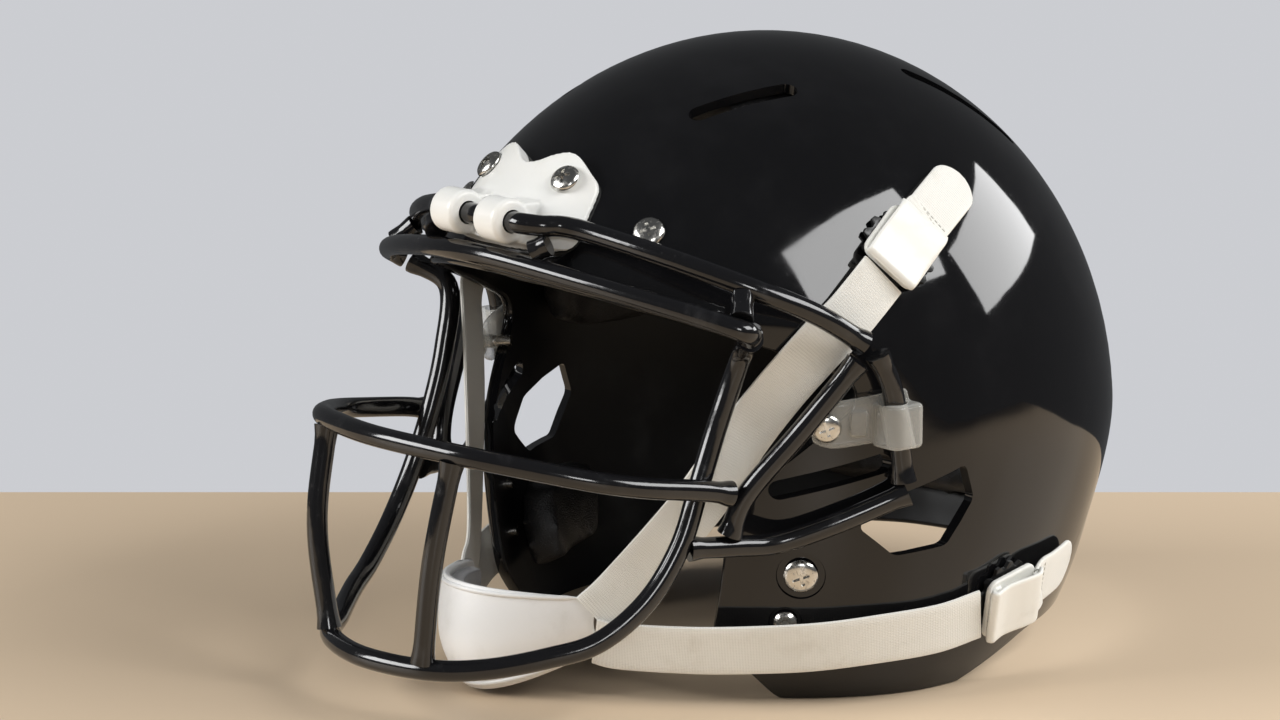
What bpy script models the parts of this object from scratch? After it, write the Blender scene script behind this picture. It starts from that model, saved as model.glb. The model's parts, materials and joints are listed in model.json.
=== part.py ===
"""American football helmet: a shell, its pads, a welded face mask, the clips that hold it and a chin strap.

Metres, +Z up. The helmet faces -Y, and +X is the wearer's left. Z = 0 is the table it rests on.
The mask is held by the brow clip at its top wire, about which it swings up, and by a clip on each side.
"""

import math

import bmesh
import bpy
from mathutils import Matrix, Vector

MM = 0.001
SIDES = (("left", 1), ("right", -1))

# Shell: an ellipsoid whose cheeks draw in towards the jaw flaps
CENTRE = Vector((0.0, -11.4, 81.0)) * MM
HALF_WIDTH = 118.7 * MM
HALF_LENGTH = 142.7 * MM
HALF_HEIGHT = 144.6 * MM
WALL = 4.0 * MM
TAPER_START_Y = -10.0 * MM
TAPER_LENGTH = 78.0 * MM
TAPER_DEPTH = 0.30
TAPER_FULL_Z = 95.0 * MM
TAPER_FADE = 50.0 * MM
NAPE_TUCK = 0.06
NAPE_TOP = 90.0 * MM
NAPE_FADE = 50.0 * MM
POLE = Vector((0.0, 0.866, 0.5))
GRID_ROUND = 72
GRID_OUT = 13
RIM_SAMPLES = 288
RIM_EVEN = 0.6 * MM

# Rim of the shell in side view, from the brow to the nape: y, z and the corner's radius
RIM = (
    (-190.0, 172.5, 0.0),
    (-81.0, 129.0, 30.0),
    (-47.0, 114.0, 9.0),
    (-81.0, 77.0, 14.0),
    (-85.5, 60.0, 20.0),
    (-85.5, 22.0, 14.0),
    (-62.0, -3.0, 18.0),
    (-6.0, -3.0, 30.0),
    (34.0, 13.0, 40.0),
    (100.0, 17.0, 40.0),
    (190.0, 17.0, 0.0),
)

# Openings in the shell: y, z corners of the ear hole, ends of the cheek slot, x, y ends of the vents
EAR_HOLE = ((-52.0, 65.5), (-42.0, 76.0), (-15.5, 85.5), (-11.5, 73.0), (-22.0, 57.0), (-40.0, 54.5))
CHEEK_SLOT = ((-73.0, 78.5), (-45.0, 88.0))
SLOT_HEIGHT = 7.0 * MM
FRONT_VENT = ((38.0, -70.0), (47.0, -38.0))
REAR_VENT = ((41.0, 26.0), (50.0, 66.0))
VENT_WIDTH = 8.0 * MM
CLEARANCE = 0.4 * MM
SINK = 1.5 * MM

# Mask: one gauge of coated steel wire, welded where the ends meet
WIRE = 3.75 * MM
WELD_GAP = 0.6 * MM
SWING_AXIS = Vector((0.0, -138.0, 170.5)) * MM
LOOP_OUTER = 8.0 * MM
LOOP_X = (6.3 * MM, 19.6 * MM)

# Brow clip: the plate's half widths at its foot and its top, and the heights it covers
CLIP_LOW_HALF = 36.0 * MM
CLIP_TOP_HALF = 31.0 * MM
CLIP_LOW = 159.3 * MM
CLIP_TOP = 183.0 * MM
CLIP_EAR = 4.5 * MM
CLIP_THICK = 6.5 * MM
CLIP_EDGE = 1.8 * MM
SWING_ROOM = (
    (0.0, 20.8),
    (4.9, 20.8),
    (7.5, 25.0),
    (11.5, 28.0),
    (14.0, 30.5),
    (17.0, 34.0),
    (20.0, 38.0),
    (0.0, 38.0),
)

# Hardware
SCREW_HEAD = 5.5 * MM
SCREW_SHANK = 2.2 * MM
JAW_HEAD = 6.0 * MM
STUD_BASE = 10.0 * MM
STUD_BALL = 4.0 * MM
BROW_SCREW = (21.0 * MM, 179.5 * MM)
SIDE_SCREW = (-61.0 * MM, 102.0 * MM)
JAW_SCREW = (-66.0 * MM, 47.5 * MM)
JAW_STUD = (-68.0 * MM, 30.0 * MM)
FOREHEAD_SCREW = (54.0 * MM, 168.0 * MM)
UPPER_STUD = (-31.0 * MM, 159.5 * MM)
LOWER_STUD = (9.0 * MM, 33.0 * MM)

# Chin strap
WEB_WIDTH = 19.0 * MM
WEB_THICK = 1.6 * MM
TAIL_TURN = {"upper": math.radians(4), "lower": math.radians(10)}
CUP_HALF_WIDTH = 38.0 * MM
CUP_HALF_HEIGHT = 20.0 * MM
CUP_MIDDLE = 20.8 * MM
CUP_SIDE_RISE = 7.0 * MM
CUP_SIDE_DRAW = 10.0 * MM
CUP_FRONT = -151.0 * MM
CUP_DEPTH = 34.0 * MM
CUP_CURL = 8.0 * MM
CUP_WALL = 2.4 * MM
CUP_PAD = 5.0 * MM

# The middle of the whole helmet's length, mask included
MIDDLE_Y = -31.2 * MM

# Pads
PAD_GAP = 1.4 * MM
FASTENER_GAP = 5.2 * MM
PAD_THICK = 20.0 * MM


def clear_scene():
    for item in list(bpy.context.scene.objects):
        bpy.data.objects.remove(item, do_unlink=True)


def make_material(name, colour, roughness, metallic=0.0):
    material = bpy.data.materials.new(name)
    material.use_nodes = True
    shader = material.node_tree.nodes["Principled BSDF"]
    shader.inputs["Base Color"].default_value = (*colour, 1.0)
    shader.inputs["Roughness"].default_value = roughness
    shader.inputs["Metallic"].default_value = metallic
    return material


def add_object(name, mesh_maker, material):
    """Puts the finished bmesh into the scene as a smooth-shaded object, faces out."""
    bmesh.ops.recalc_face_normals(mesh_maker, faces=mesh_maker.faces)
    mesh = bpy.data.meshes.new(name)
    mesh_maker.to_mesh(mesh)
    mesh_maker.free()
    mesh.shade_smooth()
    mesh.set_sharp_from_angle(angle=math.radians(35))
    mesh.materials.append(material)
    item = bpy.data.objects.new(name, mesh)
    bpy.context.scene.collection.objects.link(item)
    return item


def add_cutter(name, mesh_maker):
    bmesh.ops.recalc_face_normals(mesh_maker, faces=mesh_maker.faces)
    mesh = bpy.data.meshes.new(name)
    mesh_maker.to_mesh(mesh)
    mesh_maker.free()
    item = bpy.data.objects.new(name, mesh)
    bpy.context.scene.collection.objects.link(item)
    item.hide_render = True
    item.display_type = "WIRE"
    return item


def boolean(item, cutter, operation="DIFFERENCE"):
    step = item.modifiers.new(f"{operation.lower()}_{cutter.name}", "BOOLEAN")
    step.operation = operation
    step.solver = "EXACT"
    step.object = cutter


def set_origin(item, point):
    """Moves the object's origin to a point of its joint's axis, with its shape where it was."""
    item.data.transform(Matrix.Translation(-point))
    item.location = point


# ---------------------------------------------------------------- the shell's surface


def fade(t):
    t = min(max(t, 0.0), 1.0)
    return t * t * (3.0 - 2.0 * t)


def taper(y, z):
    """How much of the ellipsoid's width is left where the cheek draws in towards the jaw flap."""
    ahead = max(0.0, (TAPER_START_Y - y) / TAPER_LENGTH)
    low = 1.0 - fade((z - TAPER_FULL_Z) / TAPER_FADE)
    return 1.0 - TAPER_DEPTH * ahead * ahead * low


def outside(p):
    """Below zero inside the shell's outer surface, and above zero outside it."""
    x = p.x / (HALF_WIDTH * max(taper(p.y, p.z), 0.1))
    y = (p.y - CENTRE.y) / HALF_LENGTH
    if y > 0.0:
        y /= 1.0 - NAPE_TUCK * fade((NAPE_TOP - p.z) / NAPE_FADE)
    z = (p.z - CENTRE.z) / HALF_HEIGHT
    return x * x + y * y + z * z - 1.0


def hit(start, way):
    """The point of the outer surface that is met from a start inside it."""
    near, far = 0.0, 0.3
    for _ in range(40):
        half = 0.5 * (near + far)
        if outside(start + way * half) < 0.0:
            near = half
        else:
            far = half
    return start + way * near


def normal(p):
    step = 0.2 * MM
    slopes = [outside(p + axis * step) - outside(p - axis * step) for axis in Matrix.Identity(3)]
    return Vector(slopes).normalized()


def side_point(y, z, side, lift=0.0):
    """A point of the side wall at a height and a length, lifted off along the normal."""
    p = hit(Vector((0.0, y, z)), Vector((side, 0.0, 0.0)))
    return p + normal(p) * lift


def front_point(x, z, lift=0.0):
    p = hit(Vector((x, CENTRE.y, z)), Vector((0.0, -1.0, 0.0)))
    return p + normal(p) * lift


def top_point(x, y, lift=0.0):
    p = hit(Vector((x, y, CENTRE.z)), Vector((0.0, 0.0, 1.0)))
    return p + normal(p) * lift


def seat(p, up_hint=Vector((0.0, 0.0, 1.0))):
    """A frame on the shell: its Z is the outward normal and its Y is as near the hint as it can be."""
    out = normal(p)
    across = up_hint.cross(out).normalized()
    up = out.cross(across)
    frame = Matrix((across, up, out)).transposed().to_4x4()
    frame.translation = p
    return frame


def fillet(corners, steps=5):
    """The outline with its corners rounded by their radii."""
    points = []
    for n, (y, z, radius) in enumerate(corners):
        here = Vector((y, z)) * MM
        if radius == 0.0:
            points.append(here)
            continue
        back = (Vector(corners[n - 1][:2]) * MM - here).normalized()
        on = (Vector(corners[n + 1][:2]) * MM - here).normalized()
        half = 0.5 * math.acos(max(-1.0, min(1.0, back.dot(on))))
        run = radius * MM / math.tan(half)
        middle = here + (back + on).normalized() * (radius * MM / math.sin(half))
        first, last = here + back * run - middle, here + on * run - middle
        turn = math.atan2(first.x * last.y - first.y * last.x, first.dot(last))
        for k in range(steps + 1):
            a = turn * k / steps
            points.append(middle + Matrix.Rotation(a, 2) @ first)
    return points


def inside_outline(y, z, outline):
    """Whether a side-view point is on the shell's side of its rim."""
    inside = False
    ring = outline + [Vector((0.4, 0.05)), Vector((0.4, 0.5)), Vector((-0.4, 0.5)), Vector((-0.4, 0.172))]
    for a, b in zip(ring, ring[1:] + ring[:1]):
        if (a.y > z) != (b.y > z) and y < a.x + (z - a.y) * (b.x - a.x) / (b.y - a.y):
            inside = not inside
    return inside


def shell_direction(around, away):
    """The direction at an angle round the rear pole and an angle away from it."""
    side = Vector((1.0, 0.0, 0.0))
    up = POLE.cross(side) * -1.0
    radial = side * math.cos(around) + up * math.sin(around)
    return POLE * math.cos(away) + radial * math.sin(away)


def rim_angle(around, outline):
    """The angle from the pole at which the shell's surface reaches the rim."""
    away = 0.4
    while away < 3.1:
        p = hit(CENTRE, shell_direction(around, away))
        if not inside_outline(p.y, p.z, outline):
            break
        away += 0.04
    low, high = away - 0.04, away
    for _ in range(20):
        half = 0.5 * (low + high)
        p = hit(CENTRE, shell_direction(around, half))
        if inside_outline(p.y, p.z, outline):
            low = half
        else:
            high = half
    return low


def rim_columns(outline):
    """The angles round the pole that part the rim into equal lengths, each with its reach to the rim."""
    trial = [2.0 * math.pi * n / RIM_SAMPLES for n in range(RIM_SAMPLES + 1)]
    spots = [hit(CENTRE, shell_direction(a, rim_angle(a, outline))) for a in trial]
    run = [0.0]
    for a, b in zip(spots, spots[1:]):
        run.append(run[-1] + (b - a).length + RIM_EVEN)
    columns = []
    k = 0
    for n in range(GRID_ROUND):
        target = run[-1] * n / GRID_ROUND
        while run[k + 1] < target:
            k += 1
        around = trial[k] + (trial[k + 1] - trial[k]) * (target - run[k]) / (run[k + 1] - run[k])
        columns.append((around, rim_angle(around, outline)))
    return columns


def shell_surface():
    """The shell's wall, laid out as rings from the rear pole out to the rim."""
    columns = rim_columns(fillet(RIM))
    grid = bmesh.new()
    bmesh.ops.create_grid(grid, x_segments=GRID_ROUND, y_segments=GRID_OUT, size=0.5)
    for corner in grid.verts:
        around, reach = columns[round((corner.co.x + 0.5) * GRID_ROUND) % GRID_ROUND]
        corner.co = hit(CENTRE, shell_direction(around, (corner.co.y + 0.5) * reach))
    bmesh.ops.remove_doubles(grid, verts=grid.verts, dist=0.01 * MM)
    return trim_flat(thicken(grid, WALL))


def trim_flat(solid):
    """Trims the lower edges flat at the table, so that the helmet stands on the feet of its jaw flaps."""
    cut = bmesh.ops.bisect_plane(
        solid,
        geom=solid.verts[:] + solid.edges[:] + solid.faces[:],
        plane_co=(0.0, 0.0, 0.0),
        plane_no=(0.0, 0.0, 1.0),
        clear_inner=True,
    )
    rim = [item for item in cut["geom_cut"] if isinstance(item, bmesh.types.BMEdge)]
    bmesh.ops.edgeloop_fill(solid, edges=rim)
    return solid


# ---------------------------------------------------------------- shapes


def thicken(sheet, thick):
    """A closed solid from a sheet that lies along the shell, grown towards the shell's inside."""
    bmesh.ops.recalc_face_normals(sheet, faces=sheet.faces)
    grown = bmesh.ops.extrude_face_region(sheet, geom=sheet.faces[:])
    for corner in [item for item in grown["geom"] if isinstance(item, bmesh.types.BMVert)]:
        corner.co = corner.co - normal(corner.co) * thick
    return sheet


def turned(profile, frame, steps=14):
    """A closed solid turned round the frame's Z from (radius, height) points that end on the axis."""
    solid = bmesh.new()
    chain = [solid.verts.new((radius, 0.0, height)) for radius, height in profile]
    edges = [solid.edges.new(pair) for pair in zip(chain, chain[1:])]
    bmesh.ops.spin(
        solid,
        geom=chain + edges,
        axis=(0.0, 0.0, 1.0),
        cent=(0.0, 0.0, 0.0),
        angle=2.0 * math.pi,
        steps=steps,
        use_merge=True,
    )
    bmesh.ops.remove_doubles(solid, verts=solid.verts, dist=0.001 * MM)
    bmesh.ops.transform(solid, matrix=frame, verts=solid.verts)
    return solid


def ring(inner, outer, low, high, frame, steps=14):
    """A closed ring, such as a nut, round the frame's Z."""
    solid = bmesh.new()
    chain = [
        solid.verts.new(spot)
        for spot in ((inner, 0.0, low), (outer, 0.0, low), (outer, 0.0, high), (inner, 0.0, high))
    ]
    edges = [solid.edges.new(pair) for pair in zip(chain, chain[1:] + chain[:1])]
    bmesh.ops.spin(
        solid,
        geom=chain + edges,
        axis=(0.0, 0.0, 1.0),
        cent=(0.0, 0.0, 0.0),
        angle=2.0 * math.pi,
        steps=steps,
        use_merge=True,
    )
    bmesh.ops.remove_doubles(solid, verts=solid.verts, dist=0.001 * MM)
    bmesh.ops.transform(solid, matrix=frame, verts=solid.verts)
    return solid


def block(size, frame, round_off=0.0):
    """A box with its middle at the frame's origin, its upright edges rounded."""
    solid = bmesh.new()
    bmesh.ops.create_cube(solid, size=1.0)
    bmesh.ops.scale(solid, vec=size, verts=solid.verts)
    if round_off:
        upright = [e for e in solid.edges if abs(e.verts[0].co.z - e.verts[1].co.z) > 1e-6]
        bmesh.ops.bevel(
            solid, geom=upright, offset=round_off, segments=3, profile=0.5, affect="EDGES", material=-1
        )
    bmesh.ops.transform(solid, matrix=frame, verts=solid.verts)
    return solid


def smooth_route(points, per_span=5):
    """Points along a smooth curve through the route's own points."""
    points = [Vector(p) * MM for p in points]
    padded = [2 * points[0] - points[1]] + points + [2 * points[-1] - points[-2]]
    route = []
    for a, b, c, d in zip(padded, padded[1:], padded[2:], padded[3:]):
        for k in range(per_span):
            t = k / per_span
            bend = (2 * b) + (c - a) * t + (2 * a - 5 * b + 4 * c - d) * t * t
            route.append(0.5 * (bend + (3 * b - a - 3 * c + d) * t**3))
    route.append(points[-1])
    return route


def add_wire(name, points, material, side=1, per_span=4):
    """A coated steel wire along a smooth route. A route for one side is mirrored for the other."""
    curve = bpy.data.curves.new(name, "CURVE")
    curve.dimensions = "3D"
    curve.bevel_depth = WIRE
    curve.bevel_resolution = 2
    curve.use_fill_caps = True
    route = smooth_route(points, per_span)
    spline = curve.splines.new("POLY")
    spline.points.add(len(route) - 1)
    for spot, p in zip(spline.points, route):
        spot.co = (p.x * side, p.y, p.z, 1.0)
    spline.use_smooth = True
    curve.materials.append(material)
    item = bpy.data.objects.new(name, curve)
    bpy.context.scene.collection.objects.link(item)
    return item


def ribbon(points, faces, width, thick):
    """A flat strap along points, its broad face turned to the directions in faces."""
    solid = bmesh.new()
    rows = []
    for n, (p, out) in enumerate(zip(points, faces)):
        before, after = points[max(n - 1, 0)], points[min(n + 1, len(points) - 1)]
        along = (after - before).normalized()
        across = along.cross(out).normalized() * (0.5 * width)
        out = across.cross(along).normalized() * (0.5 * thick)
        corners = (p - across - out, p + across - out, p + across + out, p - across + out)
        rows.append([solid.verts.new(corner) for corner in corners])
    solid.faces.new(rows[0])
    solid.faces.new(rows[-1][::-1])
    for a, b in zip(rows, rows[1:]):
        for k in range(4):
            solid.faces.new((a[k], a[(k + 1) % 4], b[(k + 1) % 4], b[k]))
    return solid


def pad(place, half_across, half_up, gap, thick, across_cells=6, up_cells=6):
    """A cushion that follows the shell's inner wall. place(u, v) gives the point on the outer surface."""
    solid = bmesh.new()
    bmesh.ops.create_grid(solid, x_segments=across_cells, y_segments=up_cells, size=1.0)
    for corner in solid.verts:
        u, v = corner.co.x, corner.co.y
        # A square grid is drawn in to a rounded outline.
        u, v = u * math.sqrt(1.0 - 0.22 * v * v), v * math.sqrt(1.0 - 0.22 * u * u)
        p = place(u * half_across, v * half_up)
        corner.co = p - normal(p) * (WALL + gap)
    return thicken(solid, thick)


# ---------------------------------------------------------------- pieces


def hole_frames():
    """Where each fastener passes through the shell: the frame on its outer surface and the hole's radius."""
    frames = {}
    for word, side in SIDES:
        frames[f"brow_{word}"] = (seat(front_point(BROW_SCREW[0] * side, BROW_SCREW[1])), SCREW_SHANK)
        frames[f"side_{word}"] = (seat(side_point(*SIDE_SCREW, side)), SCREW_SHANK)
        frames[f"jaw_{word}"] = (seat(side_point(*JAW_SCREW, side)), SCREW_SHANK)
        frames[f"jaw_stud_{word}"] = (seat(side_point(*JAW_STUD, side)), SCREW_SHANK)
        frames[f"forehead_{word}"] = (
            seat(front_point(FOREHEAD_SCREW[0] * side, FOREHEAD_SCREW[1])),
            SCREW_SHANK,
        )
        frames[f"upper_stud_{word}"] = (seat(side_point(*UPPER_STUD, side)), SCREW_SHANK)
        frames[f"lower_stud_{word}"] = (seat(side_point(*LOWER_STUD, side)), SCREW_SHANK)
    return frames


def prism(points, push):
    """A closed prism whose end faces are the points moved by -push and +push."""
    solid = bmesh.new()
    low = [solid.verts.new(p - push) for p in points]
    high = [solid.verts.new(p + push) for p in points]
    solid.faces.new(low[::-1])
    solid.faces.new(high)
    for n in range(len(points)):
        m = (n + 1) % len(points)
        solid.faces.new((low[n], low[m], high[m], high[n]))
    bmesh.ops.recalc_face_normals(solid, faces=solid.faces)
    return solid


def slot_outline(a, b, width, across, steps=4):
    """The outline of a round-ended slot from a to b, in the plane of (b - a) and across."""
    along = (b - a).normalized()
    across = (across - along * across.dot(along)).normalized()
    points = []
    for end, sign in ((b, 1.0), (a, -1.0)):
        for k in range(steps + 1):
            angle = -0.5 * math.pi + math.pi * k / steps
            way = along * (sign * math.cos(angle)) + across * (sign * math.sin(angle))
            points.append(end + way * (0.5 * width))
    return points


def join(parts):
    """One bmesh holding all the parts, each still a closed shell."""
    whole = bmesh.new()
    for part in parts:
        mesh = bpy.data.meshes.new("part")
        part.to_mesh(mesh)
        part.free()
        whole.from_mesh(mesh)
        bpy.data.meshes.remove(mesh)
    return whole


def shell_cutters(frames):
    cuts = []
    for frame, radius in frames.values():
        bore = bmesh.new()
        bmesh.ops.create_cone(
            bore,
            cap_ends=True,
            segments=12,
            radius1=radius + CLEARANCE,
            radius2=radius + CLEARANCE,
            depth=6.0 * WALL,
        )
        bmesh.ops.transform(bore, matrix=frame, verts=bore.verts)
        cuts.append(bore)
    for _, side in SIDES:
        out = Vector((side * 30.0 * MM, 0.0, 0.0))
        corners = [side_point(y * MM, z * MM, side) for y, z in EAR_HOLE]
        cuts.append(prism(corners, out))
        ends = [side_point(y * MM, z * MM, side) for y, z in CHEEK_SLOT]
        cuts.append(prism(slot_outline(*ends, SLOT_HEIGHT, Vector((0.0, 0.0, 1.0))), out * 0.6))
        for vent in (FRONT_VENT, REAR_VENT):
            ends = [top_point(side * x * MM, y * MM) for x, y in vent]
            outline = slot_outline(*ends, VENT_WIDTH, Vector((1.0, 0.0, 0.0)))
            cuts.append(prism(outline, normal(0.5 * (ends[0] + ends[1])) * 14.0 * MM))
    return join(cuts)


def build_shell(frames, material):
    shell = add_object("shell", shell_surface(), material)
    boolean(shell, add_cutter("shell_cutter", shell_cutters(frames)))


UPPER_BROW = (
    (-112.3, -58.0, 132.5),
    (-107.8, -76.0, 144.0),
    (-95.4, -96.4, 154.0),
    (-70.0, -112.0, 162.5),
    (-38.0, -124.0, 168.8),
    (-30.0, -133.4, 169.9),
    (-25.0, -137.2, 170.4),
    (-21.5, -138.0, 170.5),
    (-14.0, -138.0, 170.5),
    (14.0, -138.0, 170.5),
    (21.5, -138.0, 170.5),
    (25.0, -137.2, 170.4),
    (30.0, -133.4, 169.9),
    (38.0, -124.0, 168.8),
    (70.0, -112.0, 162.5),
    (95.4, -96.4, 154.0),
    (107.8, -76.0, 144.0),
    (112.3, -58.0, 132.5),
)
LOWER_BROW = (
    (-102.0, -99.5, 138.5),
    (-103.5, -105.0, 141.0),
    (-88.0, -114.5, 145.5),
    (-60.0, -127.0, 151.0),
    (-26.4, -138.0, 156.0),
    (0.0, -141.5, 157.5),
    (26.4, -138.0, 156.0),
    (60.0, -127.0, 151.0),
    (88.0, -114.5, 145.5),
    (103.5, -105.0, 141.0),
    (102.0, -99.5, 138.5),
)
MOUTH = (
    (-90.0, -98.0, 81.5),
    (-88.4, -110.0, 84.0),
    (-84.5, -130.0, 87.0),
    (-76.7, -146.0, 90.0),
    (-60.0, -163.0, 94.0),
    (-38.4, -177.5, 97.3),
    (0.0, -185.0, 98.5),
    (38.4, -177.5, 97.3),
    (60.0, -163.0, 94.0),
    (76.7, -146.0, 90.0),
    (84.5, -130.0, 87.0),
    (88.4, -110.0, 84.0),
    (90.0, -98.0, 81.5),
)
JAW = (
    (-99.5, -97.5, 136.5),
    (-86.5, -90.5, 128.0),
    (-81.5, -96.0, 106.0),
    (-80.0, -103.4, 84.0),
    (-80.0, -112.0, 63.0),
    (-77.0, -124.0, 45.0),
    (-70.0, -139.0, 31.8),
    (-60.0, -153.0, 26.4),
    (-45.0, -169.0, 21.8),
    (-28.9, -183.2, 20.6),
    (0.0, -190.0, 20.4),
    (28.9, -183.2, 20.6),
    (45.0, -169.0, 21.8),
    (60.0, -153.0, 26.4),
    (70.0, -139.0, 31.8),
    (77.0, -124.0, 45.0),
    (80.0, -112.0, 63.0),
    (80.0, -103.4, 84.0),
    (81.5, -96.0, 106.0),
    (86.5, -90.5, 128.0),
    (99.5, -97.5, 136.5),
)
SIDE_WIRES = {
    "cheek_wire": ((111.6, -61.6, 124.6), (101.0, -75.0, 103.0), (90.0, -90.5, 80.5), (86.6, -94.5, 68.0)),
    "hinge_wire": ((114.0, -51.8, 126.0), (115.0, -47.3, 116.0), (115.6, -44.5, 100.0), (116.4, -42.8, 85.0)),
    "lower_wire": ((116.6, -43.5, 78.0), (104.0, -62.0, 68.5), (91.5, -78.0, 61.5), (86.0, -93.0, 61.5), (81.5, -106.6, 62.0)),
    "centre_post": ((38.0, -177.8, 92.2), (35.5, -184.0, 60.0), (29.2, -183.9, 25.6)),
    "inner_stub": ((31.6, -133.8, 162.8), (30.2, -134.9, 161.9)),
    "outer_stub": ((97.5, -99.4, 149.4), (100.8, -102.2, 145.9)),
}


def build_mask(material):
    wires = [
        add_wire("upper_brow_wire", UPPER_BROW, material),
        add_wire("lower_brow_wire", LOWER_BROW, material),
        add_wire("mouth_wire", MOUTH, material),
        add_wire("jaw_wire", JAW, material, per_span=3),
    ]
    for word, side in SIDES:
        for name, route in SIDE_WIRES.items():
            wires.append(add_wire(f"{name}_{word}", route, material, side))
    return wires


def screw_profile(head, height, shank, length):
    """A domed screw head over a shank that reaches below the seat."""
    return (
        (0.0, height),
        (0.55 * head, 0.92 * height),
        (head, 0.45 * height),
        (head, CLEARANCE),
        (shank, CLEARANCE),
        (shank, -length),
        (0.0, -length),
    )


def build_brow_clip(frames, plastic, steel):
    """The plate on the forehead, with two loops that hold the mask's top wire."""
    plate = bmesh.new()
    bmesh.ops.create_grid(plate, x_segments=12, y_segments=6, size=1.0)
    for corner in plate.verts:
        u, share = corner.co.x, 0.5 * (corner.co.y + 1.0)
        half = CLIP_LOW_HALF + (CLIP_TOP_HALF - CLIP_LOW_HALF) * share
        top = CLIP_TOP + CLIP_EAR * math.sin(math.pi * abs(u)) ** 2
        lift = CLIP_THICK - (CLIP_THICK - CLIP_EDGE) * u**4
        corner.co = front_point(u * half, CLIP_LOW + (top - CLIP_LOW) * share, lift)
    plate = thicken(plate, CLIP_THICK + SINK)
    clip = add_object("brow_clip", plate, plastic)
    for word, side in SIDES:
        middle = 0.5 * (LOOP_X[0] + LOOP_X[1]) * side
        frame = Matrix.Translation((middle, SWING_AXIS.y, SWING_AXIS.z)) @ Matrix.Rotation(math.pi / 2, 4, "Y")
        loop = bmesh.new()
        bmesh.ops.create_cone(
            loop,
            cap_ends=True,
            segments=20,
            radius1=LOOP_OUTER,
            radius2=LOOP_OUTER,
            depth=LOOP_X[1] - LOOP_X[0],
        )
        bmesh.ops.transform(loop, matrix=frame, verts=loop.verts)
        boolean(clip, add_cutter(f"loop_{word}", loop), "UNION")
        web_size = Vector((LOOP_X[1] - LOOP_X[0] - 1.0 * MM, 22.0 * MM, 12.0 * MM))
        web = block(web_size, Matrix.Translation((middle, SWING_AXIS.y + 12.0 * MM, SWING_AXIS.z)))
        boolean(clip, add_cutter(f"web_{word}", web), "UNION")
        bore = turned(
            (
                (0.0, 30.0 * MM),
                (SCREW_SHANK + CLEARANCE, 30.0 * MM),
                (SCREW_SHANK + CLEARANCE, -30.0 * MM),
                (0.0, -30.0 * MM),
            ),
            frames[f"brow_{word}"][0],
            12,
        )
        boolean(clip, add_cutter(f"clip_bore_{word}", bore))
        # The top wire bends back beyond the loop, and this is the room that it turns in.
        turn = Matrix.Translation(SWING_AXIS) @ Matrix.Rotation(side * math.pi / 2, 4, "Y")
        room = turned([(radius * MM, along * MM) for radius, along in SWING_ROOM], turn, 40)
        boolean(clip, add_cutter(f"swing_room_{word}", room))
    bore = bmesh.new()
    bmesh.ops.create_cone(
        bore,
        cap_ends=True,
        segments=20,
        radius1=WIRE + CLEARANCE,
        radius2=WIRE + CLEARANCE,
        depth=4.0 * LOOP_X[1],
    )
    turn = Matrix.Rotation(math.pi / 2, 4, "Y")
    bmesh.ops.transform(bore, matrix=Matrix.Translation(SWING_AXIS) @ turn, verts=bore.verts)
    boolean(clip, add_cutter("wire_bore", bore))
    skin = add_cutter("shell_side", shell_core(1.5 * CLEARANCE))
    boolean(clip, skin)
    for word, _ in SIDES:
        frame = frames[f"brow_{word}"][0] @ Matrix.Translation((0.0, 0.0, CLIP_THICK + CLEARANCE))
        profile = screw_profile(SCREW_HEAD, 2.6 * MM, SCREW_SHANK, CLIP_THICK + 9.0 * MM)
        add_object(f"brow_screw_{word}", turned(profile, frame), steel)
        nut = ring(
            SCREW_SHANK + CLEARANCE,
            6.5 * MM,
            -(WALL + 4.2 * MM),
            -(WALL + 1.6 * MM),
            frames[f"brow_{word}"][0],
        )
        add_object(f"brow_nut_{word}", nut, steel)


def shell_core(lift=CLEARANCE):
    """The shell's outer form a little larger, to cut what seats on it."""
    core = bmesh.new()
    bmesh.ops.create_uvsphere(core, u_segments=80, v_segments=48, radius=1.0)
    for corner in core.verts:
        p = hit(CENTRE, corner.co.normalized())
        corner.co = p + normal(p) * lift
    return core


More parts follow.
